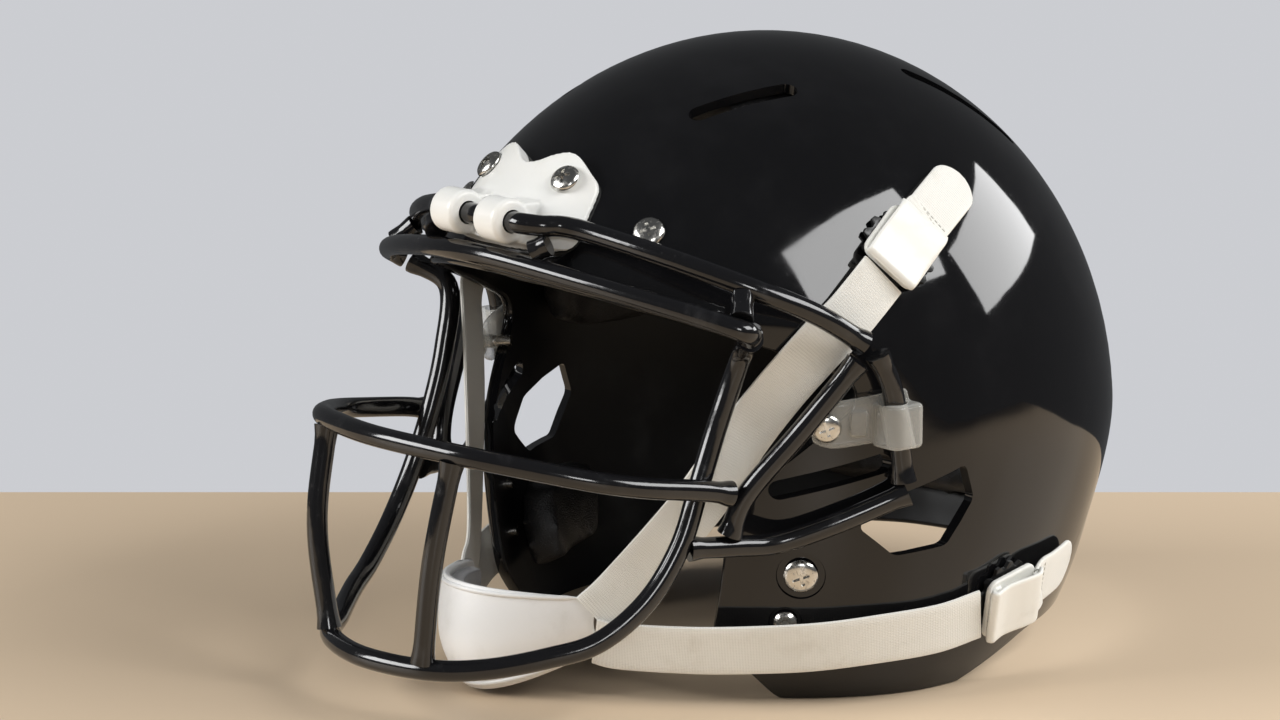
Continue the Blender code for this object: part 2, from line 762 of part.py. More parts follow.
def build_side_clips(frames, plastic, steel):
    """A clear clip each side: a plate screwed to the cheek, and a hook over the mask's rear wire."""
    thick = 4.0 * MM
    for word, side in SIDES:
        base = frames[f"side_{word}"][0]
        spots = []
        for n in range(8):
            y = -65.0 * MM + n * 4.0 * MM
            spots.append((y, 102.0 * MM + 0.18 * (y + 61.0 * MM)))
        points = [side_point(y, z, side, CLEARANCE + 0.5 * MM + 0.5 * thick) for y, z in spots]
        faces = [normal(side_point(y, z, side)) for y, z in spots]
        clip = add_object(f"side_clip_{word}", ribbon(points, faces, 17.0 * MM, thick), plastic)
        wire = Vector((115.6 * side, -44.5, 100.0)) * MM
        grip = Matrix.Translation(wire + Vector((0.0, -0.5 * MM, 3.0 * MM)))
        lump = block(Vector((15.0, 15.0, 16.0)) * MM, grip, 4.0 * MM)
        boolean(clip, add_cutter(f"grip_{word}", lump), "UNION")
        route = smooth_route(SIDE_WIRES["hinge_wire"], 2)
        low, high = route[0], route[-1]
        way = Vector(((high - low).x * side, (high - low).y, (high - low).z)).normalized()
        tube = bmesh.new()
        bmesh.ops.create_cone(
            tube,
            cap_ends=True,
            segments=14,
            radius1=WIRE + 1.3 * MM,
            radius2=WIRE + 1.3 * MM,
            depth=60.0 * MM,
        )
        turn = Vector((0.0, 0.0, 1.0)).rotation_difference(way).to_matrix().to_4x4()
        bmesh.ops.transform(tube, matrix=Matrix.Translation(wire) @ turn, verts=tube.verts)
        boolean(clip, add_cutter(f"wire_way_{word}", tube))
        boolean(clip, add_cutter(f"cheek_{word}", shell_core(2.0 * CLEARANCE)))
        bore = turned(
            (
                (0.0, 20.0 * MM),
                (SCREW_SHANK + CLEARANCE, 20.0 * MM),
                (SCREW_SHANK + CLEARANCE, -20.0 * MM),
                (0.0, -20.0 * MM),
            ),
            base,
            12,
        )
        boolean(clip, add_cutter(f"side_bore_{word}", bore))
        lift = thick + CLEARANCE + 0.6 * MM
        frame = base @ Matrix.Translation((0.0, 0.0, lift))
        profile = screw_profile(SCREW_HEAD, 2.2 * MM, SCREW_SHANK, lift + 7.0 * MM)
        add_object(f"side_screw_{word}", turned(profile, frame), steel)


def build_fasteners(frames, steel, black):
    """Screws through the shell alone, and the studs that the chin strap snaps on."""
    for word, _ in SIDES:
        for name, head in (("forehead", SCREW_HEAD), ("jaw", JAW_HEAD), ("jaw_stud", 4.5 * MM)):
            key = f"{name}_{word}"
            profile = screw_profile(head, 2.2 * MM, SCREW_SHANK, 6.5 * MM)
            label = key if name == "jaw_stud" else f"{name}_screw_{word}"
            label = f"jaw_rivet_{word}" if name == "jaw_stud" else label
            add_object(label, turned(profile, frames[key][0]), steel)
        for level in ("upper", "lower"):
            profile = (
                (0.0, 6.4 * MM),
                (0.7 * STUD_BALL, 6.2 * MM),
                (STUD_BALL, 5.0 * MM),
                (0.72 * STUD_BALL, 3.0 * MM),
                (STUD_BASE, 2.2 * MM),
                (STUD_BASE, CLEARANCE + 0.4 * MM),
                (SCREW_SHANK, CLEARANCE + 0.4 * MM),
                (SCREW_SHANK, -6.0 * MM),
                (0.0, -6.0 * MM),
            )
            item = turned(profile, frames[f"{level}_stud_{word}"][0])
            add_object(f"{level}_stud_{word}", item, black)


# The chin strap's routes on the wearer's left: y, z and lift while on the shell, then x, y, z to the cup
UPPER_ON = ((-41.8, 151.5, 4.6), (-50.0, 145.0, 3.4), (-57.5, 138.8, 2.4), (-65.0, 132.6, 2.4))
UPPER_FREE = ((97.0, -72.3, 124.0), (89.8, -77.2, 113.5), (80.0, -83.5, 98.0), (66.0, -93.5, 72.0), (45.5, -109.0, 41.0))
LOWER_ON = ((-5.0, 30.5, 4.4), (-22.0, 27.5, 4.0))
LOWER_FREE = ((105.5, -44.0, 24.5), (95.0, -62.0, 22.5), (83.0, -78.0, 21.5), (67.0, -94.0, 20.5), (45.0, -110.5, 20.0))


def strap_faces(points, side):
    """Which way the strap's broad face looks: away from the helmet's middle."""
    ways = []
    for p in points:
        way = Vector((p.x, (p.y - CENTRE.y) * 0.55, (p.z - CENTRE.z) * 0.35))
        ways.append(way.normalized())
    return ways


def build_straps(frames, web, plastic):
    for word, side in SIDES:
        for level, on, free in (("upper", UPPER_ON, UPPER_FREE), ("lower", LOWER_ON, LOWER_FREE)):
            route = [side_point(y * MM, z * MM, 1, lift * MM) / MM for y, z, lift in on]
            points = [Vector((p.x * side, p.y, p.z)) for p in smooth_route(route + list(free), 2)]
            solid = ribbon(points, strap_faces(points, side), WEB_WIDTH, WEB_THICK)
            add_object(f"{level}_strap_{word}", solid, web)
            frame = frames[f"{level}_stud_{word}"][0]
            # The buckle lies along its strap, over the stud.
            toward = points[0] - frame.translation
            out = Vector(frame.col[2][:3])
            along = (toward - out * toward.dot(out)).normalized()
            across = out.cross(along)
            turn = Matrix((along, across, out)).transposed().to_4x4()
            turn.translation = frame.translation
            body = block(
                Vector((25.0, 24.0, 7.0)) * MM,
                turn @ Matrix.Translation((0.0, 0.0, 6.6 * MM)),
                4.0 * MM,
            )
            buckle = add_object(f"{level}_buckle_{word}", body, plastic)
            pocket = turned(
                (
                    (0.0, 7.4 * MM),
                    (STUD_BALL + 1.0 * MM, 7.4 * MM),
                    (STUD_BALL + 1.0 * MM, -8.0 * MM),
                    (0.0, -8.0 * MM),
                ),
                turn,
            )
            boolean(buckle, add_cutter(f"{level}_pocket_{word}", pocket))
            set_origin(buckle, frame.translation)
            tail_start = turn @ Vector((-17.8 * MM, 0.0, 6.5 * MM))
            length = 33.0 * MM if level == "upper" else 30.0 * MM
            tail = []
            way = Matrix.Rotation(-side * TAIL_TURN[level], 3, out) @ along
            for k in range(6):
                p = tail_start - way * (length * k / 5)
                foot = hit(CENTRE, (p - CENTRE).normalized())
                tail.append(foot + normal(foot) * (5.0 - 0.5 * k) * MM)
            faces = [normal(p) for p in tail]
            item = add_object(f"{level}_tail_{word}", ribbon(tail, faces, WEB_WIDTH, WEB_THICK), web)
            set_origin(item, frame.translation)


def cup_sheet(share, depth):
    """The cup's bowl as a sheet: deep in front of the chin, curled under it, and drawn up at the sides."""
    sheet = bmesh.new()
    bmesh.ops.create_grid(sheet, x_segments=12, y_segments=8, size=share)
    for corner in sheet.verts:
        u, v = corner.co.x, corner.co.y
        high = CUP_MIDDLE + CUP_SIDE_RISE * u * u + v * (CUP_HALF_HEIGHT - CUP_SIDE_DRAW * u * u)
        curl = CUP_CURL * v * v if v < 0.0 else 0.35 * CUP_CURL * v * v
        corner.co = Vector((CUP_HALF_WIDTH * u, CUP_FRONT + CUP_DEPTH * abs(u) ** 2.2 + curl, high))
    sheet.normal_update()
    away = {v: v.normal.copy() * (1.0 if v.normal.y > 0.0 else -1.0) for v in sheet.verts}
    for corner, way in away.items():
        corner.co = corner.co + way * depth
    return sheet


def cup_solid(share, depth, thick):
    """The cup's sheet, sunk by a depth towards the chin and grown by a thickness."""
    sheet = cup_sheet(share, depth)
    sheet.normal_update()
    away = {v: v.normal.copy() * (1.0 if v.normal.y > 0.0 else -1.0) for v in sheet.verts}
    near = list(sheet.verts)
    grown = bmesh.ops.extrude_face_region(sheet, geom=sheet.faces[:])
    for corner in [item for item in grown["geom"] if isinstance(item, bmesh.types.BMVert)]:
        source = min(near, key=lambda v: (v.co - corner.co).length_squared)
        corner.co = corner.co + away[source] * thick
    return sheet


def build_cup(plastic, foam):
    add_object("chin_cup", cup_solid(1.0, 0.0, CUP_WALL), plastic)
    add_object("chin_cup_pad", cup_solid(0.93, CUP_WALL + 0.8 * MM, CUP_PAD), foam)


def build_pads(foam):
    """Cushions inside the shell. Each is laid out round a middle point of the surface."""

    def crown(u, v):
        return top_point(u, v - 10.0 * MM)

    def front(u, v):
        return hit(CENTRE, Vector((math.sin(u), -math.cos(u), 0.78 + v)).normalized())

    def back(u, v):
        return hit(CENTRE, Vector((math.sin(u), math.cos(u), 0.42 + v)).normalized())

    def nape(u, v):
        return hit(CENTRE, Vector((math.sin(u), math.cos(u), -0.23 + v)).normalized())

    add_object("crown_pad", pad(crown, 44.0 * MM, 50.0 * MM, PAD_GAP, PAD_THICK), foam)
    add_object("front_pad", pad(front, 0.66, 0.20, FASTENER_GAP, 14.0 * MM), foam)
    add_object("back_pad", pad(back, 0.70, 0.25, PAD_GAP, PAD_THICK), foam)
    add_object("nape_pad", pad(nape, 0.74, 0.19, 1.8 * MM, 18.0 * MM), foam)
    for word, side in SIDES:

        def temple(u, v, side=side):
            return side_point(-8.0 * MM + u, 128.0 * MM + v, side)

        def jaw(u, v, side=side):
            return side_point(-48.0 * MM + u, 31.0 * MM + v, side)

        add_object(f"side_pad_{word}", pad(temple, 34.0 * MM, 24.0 * MM, 4.4 * MM, 15.0 * MM), foam)
        item = pad(jaw, 28.0 * MM, 18.0 * MM, FASTENER_GAP, 16.0 * MM)
        add_object(f"jaw_pad_{word}", item, foam)


def centre_frame():
    """Puts the frame's origin on the table, under the middle of the helmet's length."""
    for item in bpy.context.scene.objects:
        item.location.y -= MIDDLE_Y


def main():
    clear_scene()
    black_gloss = make_material("shell_black", (0.012, 0.012, 0.013), 0.08)
    coat = make_material("wire_coat", (0.015, 0.015, 0.016), 0.22)
    white = make_material("clip_white", (0.83, 0.83, 0.80), 0.35)
    clear = make_material("clip_clear", (0.75, 0.76, 0.74), 0.12)
    steel = make_material("screw_steel", (0.62, 0.61, 0.58), 0.28, 1.0)
    black = make_material("stud_black", (0.02, 0.02, 0.02), 0.4)
    web = make_material("strap_web", (0.86, 0.85, 0.80), 0.8)
    buckle = make_material("buckle_white", (0.85, 0.84, 0.80), 0.4)
    foam = make_material("pad_black", (0.03, 0.03, 0.034), 0.55)
    cup = make_material("cup_white", (0.86, 0.86, 0.85), 0.45)
    frames = hole_frames()
    build_shell(frames, black_gloss)
    build_mask(coat)
    build_brow_clip(frames, white, steel)
    build_side_clips(frames, clear, steel)
    build_fasteners(frames, steel, black)
    build_straps(frames, web, buckle)
    build_cup(cup, foam)
    build_pads(foam)
    centre_frame()


main()
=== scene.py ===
"""The looks of an American football helmet: shell, mask, clips, chin strap and pads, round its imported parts.

Metres, +Z up, the helmet faces -Y and +X is the wearer's left. Lengths in the classes' fields are in
millimetres, and so are the points of the routes, whose y is measured from the drawing's own zero line, DATUM.
"""

from __future__ import annotations

import json
import logging
import math
from dataclasses import dataclass, field
from enum import Enum
from typing import Iterable, Sequence, Union

import bmesh
import bpy
from mathutils import Matrix, Vector

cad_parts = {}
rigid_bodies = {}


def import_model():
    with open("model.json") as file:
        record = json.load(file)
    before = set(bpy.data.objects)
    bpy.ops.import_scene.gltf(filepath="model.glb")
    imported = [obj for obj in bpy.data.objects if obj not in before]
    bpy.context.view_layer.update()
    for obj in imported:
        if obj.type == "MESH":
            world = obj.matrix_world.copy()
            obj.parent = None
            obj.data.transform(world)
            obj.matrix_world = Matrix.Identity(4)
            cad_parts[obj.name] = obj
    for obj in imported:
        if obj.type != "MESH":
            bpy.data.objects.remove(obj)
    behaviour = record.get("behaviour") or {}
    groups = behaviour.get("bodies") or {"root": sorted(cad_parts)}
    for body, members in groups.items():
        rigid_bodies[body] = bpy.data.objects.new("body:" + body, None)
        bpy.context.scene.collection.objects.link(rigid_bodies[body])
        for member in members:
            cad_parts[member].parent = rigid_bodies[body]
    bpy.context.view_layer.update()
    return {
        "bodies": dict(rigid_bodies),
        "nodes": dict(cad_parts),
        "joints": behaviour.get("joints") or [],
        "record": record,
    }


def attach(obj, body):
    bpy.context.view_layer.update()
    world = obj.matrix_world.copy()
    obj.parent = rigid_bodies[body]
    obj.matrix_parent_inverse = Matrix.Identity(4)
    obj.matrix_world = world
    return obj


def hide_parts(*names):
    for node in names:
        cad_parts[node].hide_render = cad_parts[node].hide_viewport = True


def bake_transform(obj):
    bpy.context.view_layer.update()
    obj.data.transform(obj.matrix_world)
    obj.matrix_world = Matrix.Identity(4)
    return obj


LOG = logging.getLogger("helmet")
MM = 0.001
DATUM = Vector((0.0, 31.2, 0.0)) * MM
UV_NAME = "weave"

Value = Union["Term", float, Sequence[float]]


class Side(Enum):
    """The wearer's side: its value is the sign of x there."""

    LEFT = 1
    RIGHT = -1

    @property
    def word(self) -> str:
        """The side's word in the names of nodes."""
        return self.name.lower()


class Level(Enum):
    """The two straps on each side."""

    UPPER = "upper"
    LOWER = "lower"


# Where each strap's stud stands on the shell's side: y and z in the drawing.
STUDS: dict[Level, tuple[float, float]] = {Level.UPPER: (-31.0, 159.5), Level.LOWER: (9.0, 33.0)}


class Slot(Enum):
    """The record's material slots."""

    SHELL = "shell_gloss"
    WIRE = "wire_coat"
    CLIP = "clip_white"
    CLEAR = "clip_clear"
    STUD = "stud_black"
    STEEL = "screw_steel"
    WEB = "strap_web"
    BUCKLE = "buckle_white"
    CUP = "cup_white"
    PAD = "pad_black"


# ------------------------------------------------------------------ shader maths


class Term:
    """A socket of a material that takes part in Python arithmetic."""

    def __init__(self, paint: "Paint", socket: bpy.types.NodeSocket) -> None:
        """Keeps the socket and the material it belongs to."""
        self.paint = paint
        self.socket = socket

    def math(self, operation: str, *values: Value) -> "Term":
        """One Math node.

        Args:
            operation: The node's operation.
            values: What its sockets hold, in order.

        Returns:
            The node's result.
        """
        return self.paint.node("ShaderNodeMath", {"operation": operation}, dict(enumerate(values)))

    def __add__(self, other: Value) -> "Term":
        """Self plus other."""
        return self.math("ADD", self, other)

    def __radd__(self, other: Value) -> "Term":
        """Other plus self."""
        return self.math("ADD", other, self)

    def __sub__(self, other: Value) -> "Term":
        """Self less other."""
        return self.math("SUBTRACT", self, other)

    def __rsub__(self, other: Value) -> "Term":
        """Other less self."""
        return self.math("SUBTRACT", other, self)

    def __mul__(self, other: Value) -> "Term":
        """Self times other."""
        return self.math("MULTIPLY", self, other)

    def __rmul__(self, other: Value) -> "Term":
        """Other times self."""
        return self.math("MULTIPLY", other, self)

    def __pow__(self, other: Value) -> "Term":
        """Self to a power."""
        return self.math("POWER", self, other)

    def __gt__(self, other: Value) -> "Term":
        """One where self is above other."""
        return self.math("GREATER_THAN", self, other)

    def __lt__(self, other: Value) -> "Term":
        """One where self is below other."""
        return self.math("LESS_THAN", self, other)

    def sine(self) -> "Term":
        """The sine of self in radians."""
        return self.math("SINE", self)

    def size(self) -> "Term":
        """Self without its sign."""
        return self.math("ABSOLUTE", self)

    def ramp(self, low: float, high: float) -> "Term":
        """A smooth rise from 0 at low to 1 at high.

        Args:
            low: Where the rise starts.
            high: Where the rise ends.

        Returns:
            The risen value.
        """
        return self.paint.node(
            "ShaderNodeMapRange",
            {"interpolation_type": "SMOOTHSTEP"},
            {"Value": self, "From Min": low, "From Max": high},
        )


class Paint:
    """One material and the making of its nodes."""

    def __init__(self, name: str) -> None:
        """Starts a material with its main shader."""
        self.material = bpy.data.materials.new(name)
        self.material.use_nodes = True
        self.tree = self.material.node_tree
        self.shader = self.tree.nodes["Principled BSDF"]

    def feed(self, socket: bpy.types.NodeSocket, value: Value) -> None:
        """Links a term to a socket or sets the socket's own value."""
        if isinstance(value, Term):
            self.tree.links.new(value.socket, socket)
        else:
            socket.default_value = value

    def node(
        self,
        kind: str,
        settings: dict[str, object] | None = None,
        sockets: dict[object, Value] | None = None,
        out: int | str = 0,
    ) -> Term:
        """Any node.

        Args:
            kind: The node's type.
            settings: Its own settings, which are set first.
            sockets: What its input sockets hold, by name or number.
            out: Which output is wanted.

        Returns:
            The wanted output.
        """
        item = self.tree.nodes.new(kind)
        for word, value in (settings or {}).items():
            setattr(item, word, value)
        for key, value in (sockets or {}).items():
            self.feed(item.inputs[key], value)
        return Term(self, item.outputs[out])

    def place(self) -> Term:
        """Where a point lies in the frame, in metres."""
        return self.node("ShaderNodeTexCoord", out="Object")

    def noise(self, grain: float, detail: float = 3.0, rough: float = 0.5) -> Term:
        """Cloudy noise from 0 to 1.

        Args:
            grain: The size of its blots in millimetres.
            detail: How many finer layers it has.
            rough: How strong the finer layers are.

        Returns:
            The noise.
        """
        scale = 1.0 / (grain * MM)
        sockets = {"Vector": self.place(), "Scale": scale, "Detail": detail, "Roughness": rough}
        return self.node("ShaderNodeTexNoise", None, sockets)

    def cells(self, grain: float, feature: str = "F1") -> Term:
        """The distance to the nearest of scattered points, for pores and leather grain.

        Args:
            grain: The spacing of the points in millimetres.
            feature: Which distance is measured.

        Returns:
            The distance.
        """
        sockets = {"Vector": self.place(), "Scale": 1.0 / (grain * MM)}
        return self.node("ShaderNodeTexVoronoi", {"feature": feature}, sockets, "Distance")

    def shade(self, share: Value, first: Sequence[float], second: Sequence[float]) -> Term:
        """A colour between two.

        Args:
            share: How much of the second there is.
            first: The first colour.
            second: The second colour.

        Returns:
            The mixed colour.
        """
        sockets = {0: share, 6: (*first, 1.0), 7: (*second, 1.0)}
        return self.node("ShaderNodeMix", {"data_type": "RGBA"}, sockets, 2)

    def over(self, share: Value, first: Term, second: Sequence[float]) -> Term:
        """A mixed colour with another colour laid over it where share is one."""
        return self.node("ShaderNodeMix", {"data_type": "RGBA"}, {0: share, 6: first, 7: (*second, 1.0)}, 2)

    def relief(self, height: Term, depth: float, strength: float = 1.0) -> None:
        """Makes the surface's fine relief.

        Args:
            height: The relief, from 0 to 1.
            depth: How deep it is in millimetres.
            strength: How strongly it turns the surface's normal.
        """
        sockets = {"Height": height, "Distance": depth * MM, "Strength": strength}
        self.feed(self.shader.inputs["Normal"], self.node("ShaderNodeBump", None, sockets))

    def look(self, **values: Value) -> None:
        """Sets the main shader's sockets, with underlines for the spaces in their names."""
        for word, value in values.items():
            self.feed(self.shader.inputs[word.replace("_", " ")], value)


# ------------------------------------------------------------------ finishes


@dataclass(frozen=True)
class GlossShell:
    """Moulded black shell: deep gloss with a faint waviness, hand marks and rubbed hairlines."""

    colour: tuple[float, float, float] = (0.0045, 0.0045, 0.0052)
    rubbed: tuple[float, float, float] = (0.011, 0.011, 0.012)

    def paint(self) -> bpy.types.Material:
        """The finished material."""
        p = Paint("gloss_shell")
        smear = p.noise(38.0, 4.0, 0.6).ramp(0.45, 0.8)
        dust = p.noise(0.9, 2.0).ramp(0.63, 0.78)
        p.look(
            Base_Color=p.shade(smear * 0.5 + dust * 0.25, self.colour, self.rubbed),
            Roughness=0.045 + smear * 0.05 + dust * 0.09,
            IOR=1.5,
        )
        p.relief(p.noise(16.0, 1.0) + p.noise(1.1, 2.0) * 0.012, 0.16, 0.35)
        return p.material


@dataclass(frozen=True)
class ShellInside:
    """The shell's unpolished inside: dull black with a fine moulded grain and scuffs."""

    colour: tuple[float, float, float] = (0.006, 0.006, 0.007)
    scuffed: tuple[float, float, float] = (0.018, 0.018, 0.019)

    def paint(self) -> bpy.types.Material:
        """The finished material."""
        p = Paint("shell_inside")
        scuff = p.noise(22.0, 4.0, 0.6).ramp(0.45, 0.75)
        p.look(Base_Color=p.shade(scuff, self.colour, self.scuffed), Roughness=0.42 + scuff * 0.16)
        p.relief(p.noise(0.8, 2.0), 0.04, 0.7)
        return p.material


@dataclass(frozen=True)
class DippedWire:
    """Steel wire in a thick black dipped coat, a little wavy, with specks and worn spots."""

    colour: tuple[float, float, float] = (0.006, 0.006, 0.007)
    worn: tuple[float, float, float] = (0.028, 0.028, 0.030)

    def paint(self) -> bpy.types.Material:
        """The finished material."""
        p = Paint("dipped_wire")
        wear = p.noise(11.0, 4.0, 0.62).ramp(0.55, 0.8)
        specks = p.cells(3.2).ramp(0.16, 0.05)
        p.look(
            Base_Color=p.shade(wear * 0.6 + specks * 0.3, self.colour, self.worn),
            Roughness=0.13 + wear * 0.16 + specks * 0.1,
            Coat_Weight=0.25,
            Coat_Roughness=0.08,
        )
        p.relief(p.noise(6.5, 2.0) + p.noise(0.8, 2.0) * 0.05, 0.3, 0.28)
        return p.material


@dataclass(frozen=True)
class MouldedPlastic:
    """Moulded plastic with an eggshell texture, soft marks and a little dirt in its low places."""

    name: str
    colour: tuple[float, float, float]
    soiled: tuple[float, float, float]
    roughness: float = 0.32
    grain: float = 0.7
    depth: float = 0.03

    def paint(self) -> bpy.types.Material:
        """The finished material."""
        p = Paint(self.name)
        soil = p.noise(17.0, 5.0, 0.65).ramp(0.48, 0.85)
        rub = p.noise(4.0, 3.0).ramp(0.4, 0.7)
        p.look(
            Base_Color=p.shade(soil * 0.7, self.colour, self.soiled),
            Roughness=self.roughness + rub * 0.1 + soil * 0.08,
            Subsurface_Weight=0.08,
            Subsurface_Radius=(0.003, 0.003, 0.0025),
        )
        p.relief(p.noise(self.grain, 2.0) + p.noise(7.0, 1.0) * 0.8, self.depth, 0.6)
        return p.material


@dataclass(frozen=True)
class ClearPlastic:
    """Clear moulded plastic: glassy, brighter where it is seen edge on, with faint flow marks."""

    colour: tuple[float, float, float] = (0.66, 0.66, 0.62)
    cloudy: tuple[float, float, float] = (0.48, 0.48, 0.45)

    def paint(self) -> bpy.types.Material:
        """The finished material."""
        p = Paint("clear_plastic")
        flow = p.noise(6.0, 3.0).ramp(0.35, 0.75)
        edge = p.node("ShaderNodeLayerWeight", None, {"Blend": 0.35}, "Facing")
        p.look(
            Base_Color=p.shade(flow, self.colour, self.cloudy),
            Roughness=0.08 + flow * 0.12,
            Alpha=0.22 + edge * 0.50 + flow * 0.08,
            IOR=1.5,
            Coat_Weight=0.4,
            Coat_Roughness=0.05,
        )
        p.relief(p.noise(3.0, 2.0), 0.12, 0.7)
        return p.material


@dataclass(frozen=True)
class PlatedSteel:
    """Plated steel screws: turned, a little tarnished."""

    colour: tuple[float, float, float] = (0.62, 0.61, 0.58)
    tarnish: tuple[float, float, float] = (0.30, 0.27, 0.23)

    def paint(self) -> bpy.types.Material:
        """The finished material."""
        p = Paint("plated_steel")
        spots = p.noise(1.6, 4.0, 0.65).ramp(0.5, 0.75)
        p.look(
            Base_Color=p.shade(spots * 0.7, self.colour, self.tarnish),
            Roughness=0.20 + spots * 0.25,
            Metallic=1.0 - spots * 0.2,
        )
        p.relief(p.noise(0.35, 2.0), 0.02, 0.6)
        return p.material


@dataclass(frozen=True)
class StudEnamel:
    """Black baked enamel on the snap studs, chipped at its high spots."""

    colour: tuple[float, float, float] = (0.010, 0.010, 0.010)
    chip: tuple[float, float, float] = (0.16, 0.15, 0.14)

    def paint(self) -> bpy.types.Material:
        """The finished material."""
        p = Paint("stud_enamel")
        chips = p.noise(0.9, 3.0).ramp(0.68, 0.76)
        p.look(
            Base_Color=p.shade(chips, self.colour, self.chip),
            Roughness=0.28 + chips * 0.2,
            Metallic=chips * 0.8,
        )
        p.relief(p.noise(0.6, 2.0), 0.03, 0.5)
        return p.material


@dataclass(frozen=True)
class WovenWeb:
    """White webbing: close ribs along it, picks across it, selvedges, soil where hands pull it and painted
    shade in its grooves.
    """

    colour: tuple[float, float, float] = (0.80, 0.795, 0.75)
    soiled: tuple[float, float, float] = (0.60, 0.57, 0.50)
    # The colour of the painted shade in the weave's grooves.
    groove: tuple[float, float, float] = (0.50, 0.48, 0.43)
    rib: float = 1.25
    pick: float = 1.0
    half_width: float = 9.5

    def paint(self) -> bpy.types.Material:
        """The finished material."""
        p = Paint("woven_web")
        parts = self.split(p)
        across, along = parts
        ribs = (across * (2.0 * math.pi / (self.rib * MM))).sine()
        step = along + ribs.size() * (0.25 * self.pick * MM)
        picks = (step * (2.0 * math.pi / (self.pick * MM))).sine()
        selvedge = across.size().ramp((self.half_width - 1.5) * MM, (self.half_width - 0.9) * MM)
        weave = ribs.size() * 0.6 + picks * 0.25 * (1.0 - selvedge * 0.5)
        soil = p.noise(14.0, 5.0, 0.65).ramp(0.5, 0.85)
        fuzz = p.noise(0.5, 2.0)
        # Painted shade: where the weave is low, its colour is drawn towards the groove shade colour.
        low = (weave < 0.16) * 0.35
        ground = p.shade(soil * 0.55 + fuzz * 0.12, self.colour, self.soiled)
        p.look(
            Base_Color=p.over(low, ground, self.groove),
            Roughness=0.72 + fuzz * 0.15,
            Sheen_Weight=0.25,
            Sheen_Roughness=0.4,
        )
        p.relief(weave + fuzz * 0.2, 0.16, 0.8)
        return p.material

    def split(self, p: Paint) -> tuple[Term, Term]:
        """The distances across and along the webbing.

        Args:
            p: The material in making.

        Returns:
            Across from the middle and along from the start, in metres.
        """
        chart = p.node("ShaderNodeUVMap", {"uv_map": UV_NAME})
        halves = p.tree.nodes.new("ShaderNodeSeparateXYZ")
        p.feed(halves.inputs[0], chart)
        return Term(p, halves.outputs[0]), Term(p, halves.outputs[1])


@dataclass(frozen=True)
class PadVinyl:
    """Soft black vinyl over foam: a fine leather grain, creases and a dull shine on its high places."""

    colour: tuple[float, float, float] = (0.012, 0.012, 0.013)
    rubbed: tuple[float, float, float] = (0.040, 0.040, 0.043)

    def paint(self) -> bpy.types.Material:
        """The finished material."""
        p = Paint("pad_vinyl")
        grain = p.cells(1.1, "DISTANCE_TO_EDGE").ramp(0.0, 0.35)
        rub = p.noise(13.0, 4.0, 0.6).ramp(0.42, 0.75)
        p.look(
            Base_Color=p.shade(rub * 0.8, self.colour, self.rubbed),
            Roughness=0.46 + rub * 0.14 - grain * 0.06,
            Coat_Weight=0.05,
        )
        p.relief(grain + p.noise(9.0, 2.0) * 1.5, 0.14, 0.8)
        return p.material


@dataclass(frozen=True)
class LinerCloth:
    """Grey brushed cloth over the chin cup's foam."""

    colour: tuple[float, float, float] = (0.17, 0.17, 0.18)
    tuft: tuple[float, float, float] = (0.30, 0.30, 0.31)

    def paint(self) -> bpy.types.Material:
        """The finished material."""
        p = Paint("liner_cloth")
        loops = p.cells(0.8).ramp(0.0, 0.6)
        fuzz = p.noise(0.45, 3.0)
        p.look(
            Base_Color=p.shade(loops * 0.6 + fuzz * 0.3, self.tuft, self.colour),
            Roughness=0.88,
            Sheen_Weight=0.5,
        )
        p.relief(fuzz + loops * 0.7, 0.25, 0.9)
        return p.material


@dataclass(frozen=True)
class StitchThread:
    """Twisted sewing thread."""

    colour: tuple[float, float, float] = (0.66, 0.65, 0.60)
    deep: tuple[float, float, float] = (0.34, 0.33, 0.30)

    def paint(self) -> bpy.types.Material:
        """The finished material."""
        p = Paint("stitch_thread")
        twist = p.noise(0.3, 2.0)
        p.look(Base_Color=p.shade(twist, self.colour, self.deep), Roughness=0.6 + twist * 0.2)
        p.relief(twist, 0.06, 0.8)
        return p.material


class Finishes:
    """Every finish of the helmet, each painted once."""

    def __init__(self) -> None:
        """Paints them all."""
        white, grime = (0.83, 0.83, 0.80), (0.66, 0.64, 0.58)
        self.shell = GlossShell().paint()
        self.inside = ShellInside().paint()
        self.wire = DippedWire().paint()
        self.clip = MouldedPlastic("clip_white", white, grime, 0.30).paint()
        self.buckle = MouldedPlastic("buckle_white", (0.80, 0.795, 0.75), (0.60, 0.58, 0.51), 0.36).paint()
        cup = MouldedPlastic("cup_white", (0.84, 0.84, 0.83), (0.70, 0.69, 0.66), 0.42, 1.1, 0.05)
        self.cup = cup.paint()
        self.clear = ClearPlastic().paint()
        self.steel = PlatedSteel().paint()
        self.stud = StudEnamel().paint()
        self.web = WovenWeb().paint()
        self.pad = PadVinyl().paint()
        self.liner = LinerCloth().paint()
        self.thread = StitchThread().paint()


# ------------------------------------------------------------------ shapes


def at(x: float, y: float, z: float) -> Vector:
    """A point of the frame in metres from a point of the drawing in millimetres."""
    return Vector((x, y, z)) * MM + DATUM


def fade(t: float) -> float:
    """A smooth rise from 0 to 1 as t goes from 0 to 1."""
    t = min(max(t, 0.0), 1.0)
    return t * t * (3.0 - 2.0 * t)


def smooth_route(points: Sequence[Vector], per_span: int = 8) -> list[Vector]:
    """Points along a smooth curve.

    Args:
        points: What the curve passes through.
        per_span: How many parts each span is cut into.

    Returns:
        The curve's points.
    """
    padded = [2 * points[0] - points[1], *points, 2 * points[-1] - points[-2]]
    route = []
    for a, b, c, d in zip(padded, padded[1:], padded[2:], padded[3:]):
        for k in range(per_span):
            t = k / per_span
            bend = (2 * b) + (c - a) * t + (2 * a - 5 * b + 4 * c - d) * t * t
            route.append(0.5 * (bend + (3 * b - a - 3 * c + d) * t**3))
    route.append(points[-1].copy())
    return route


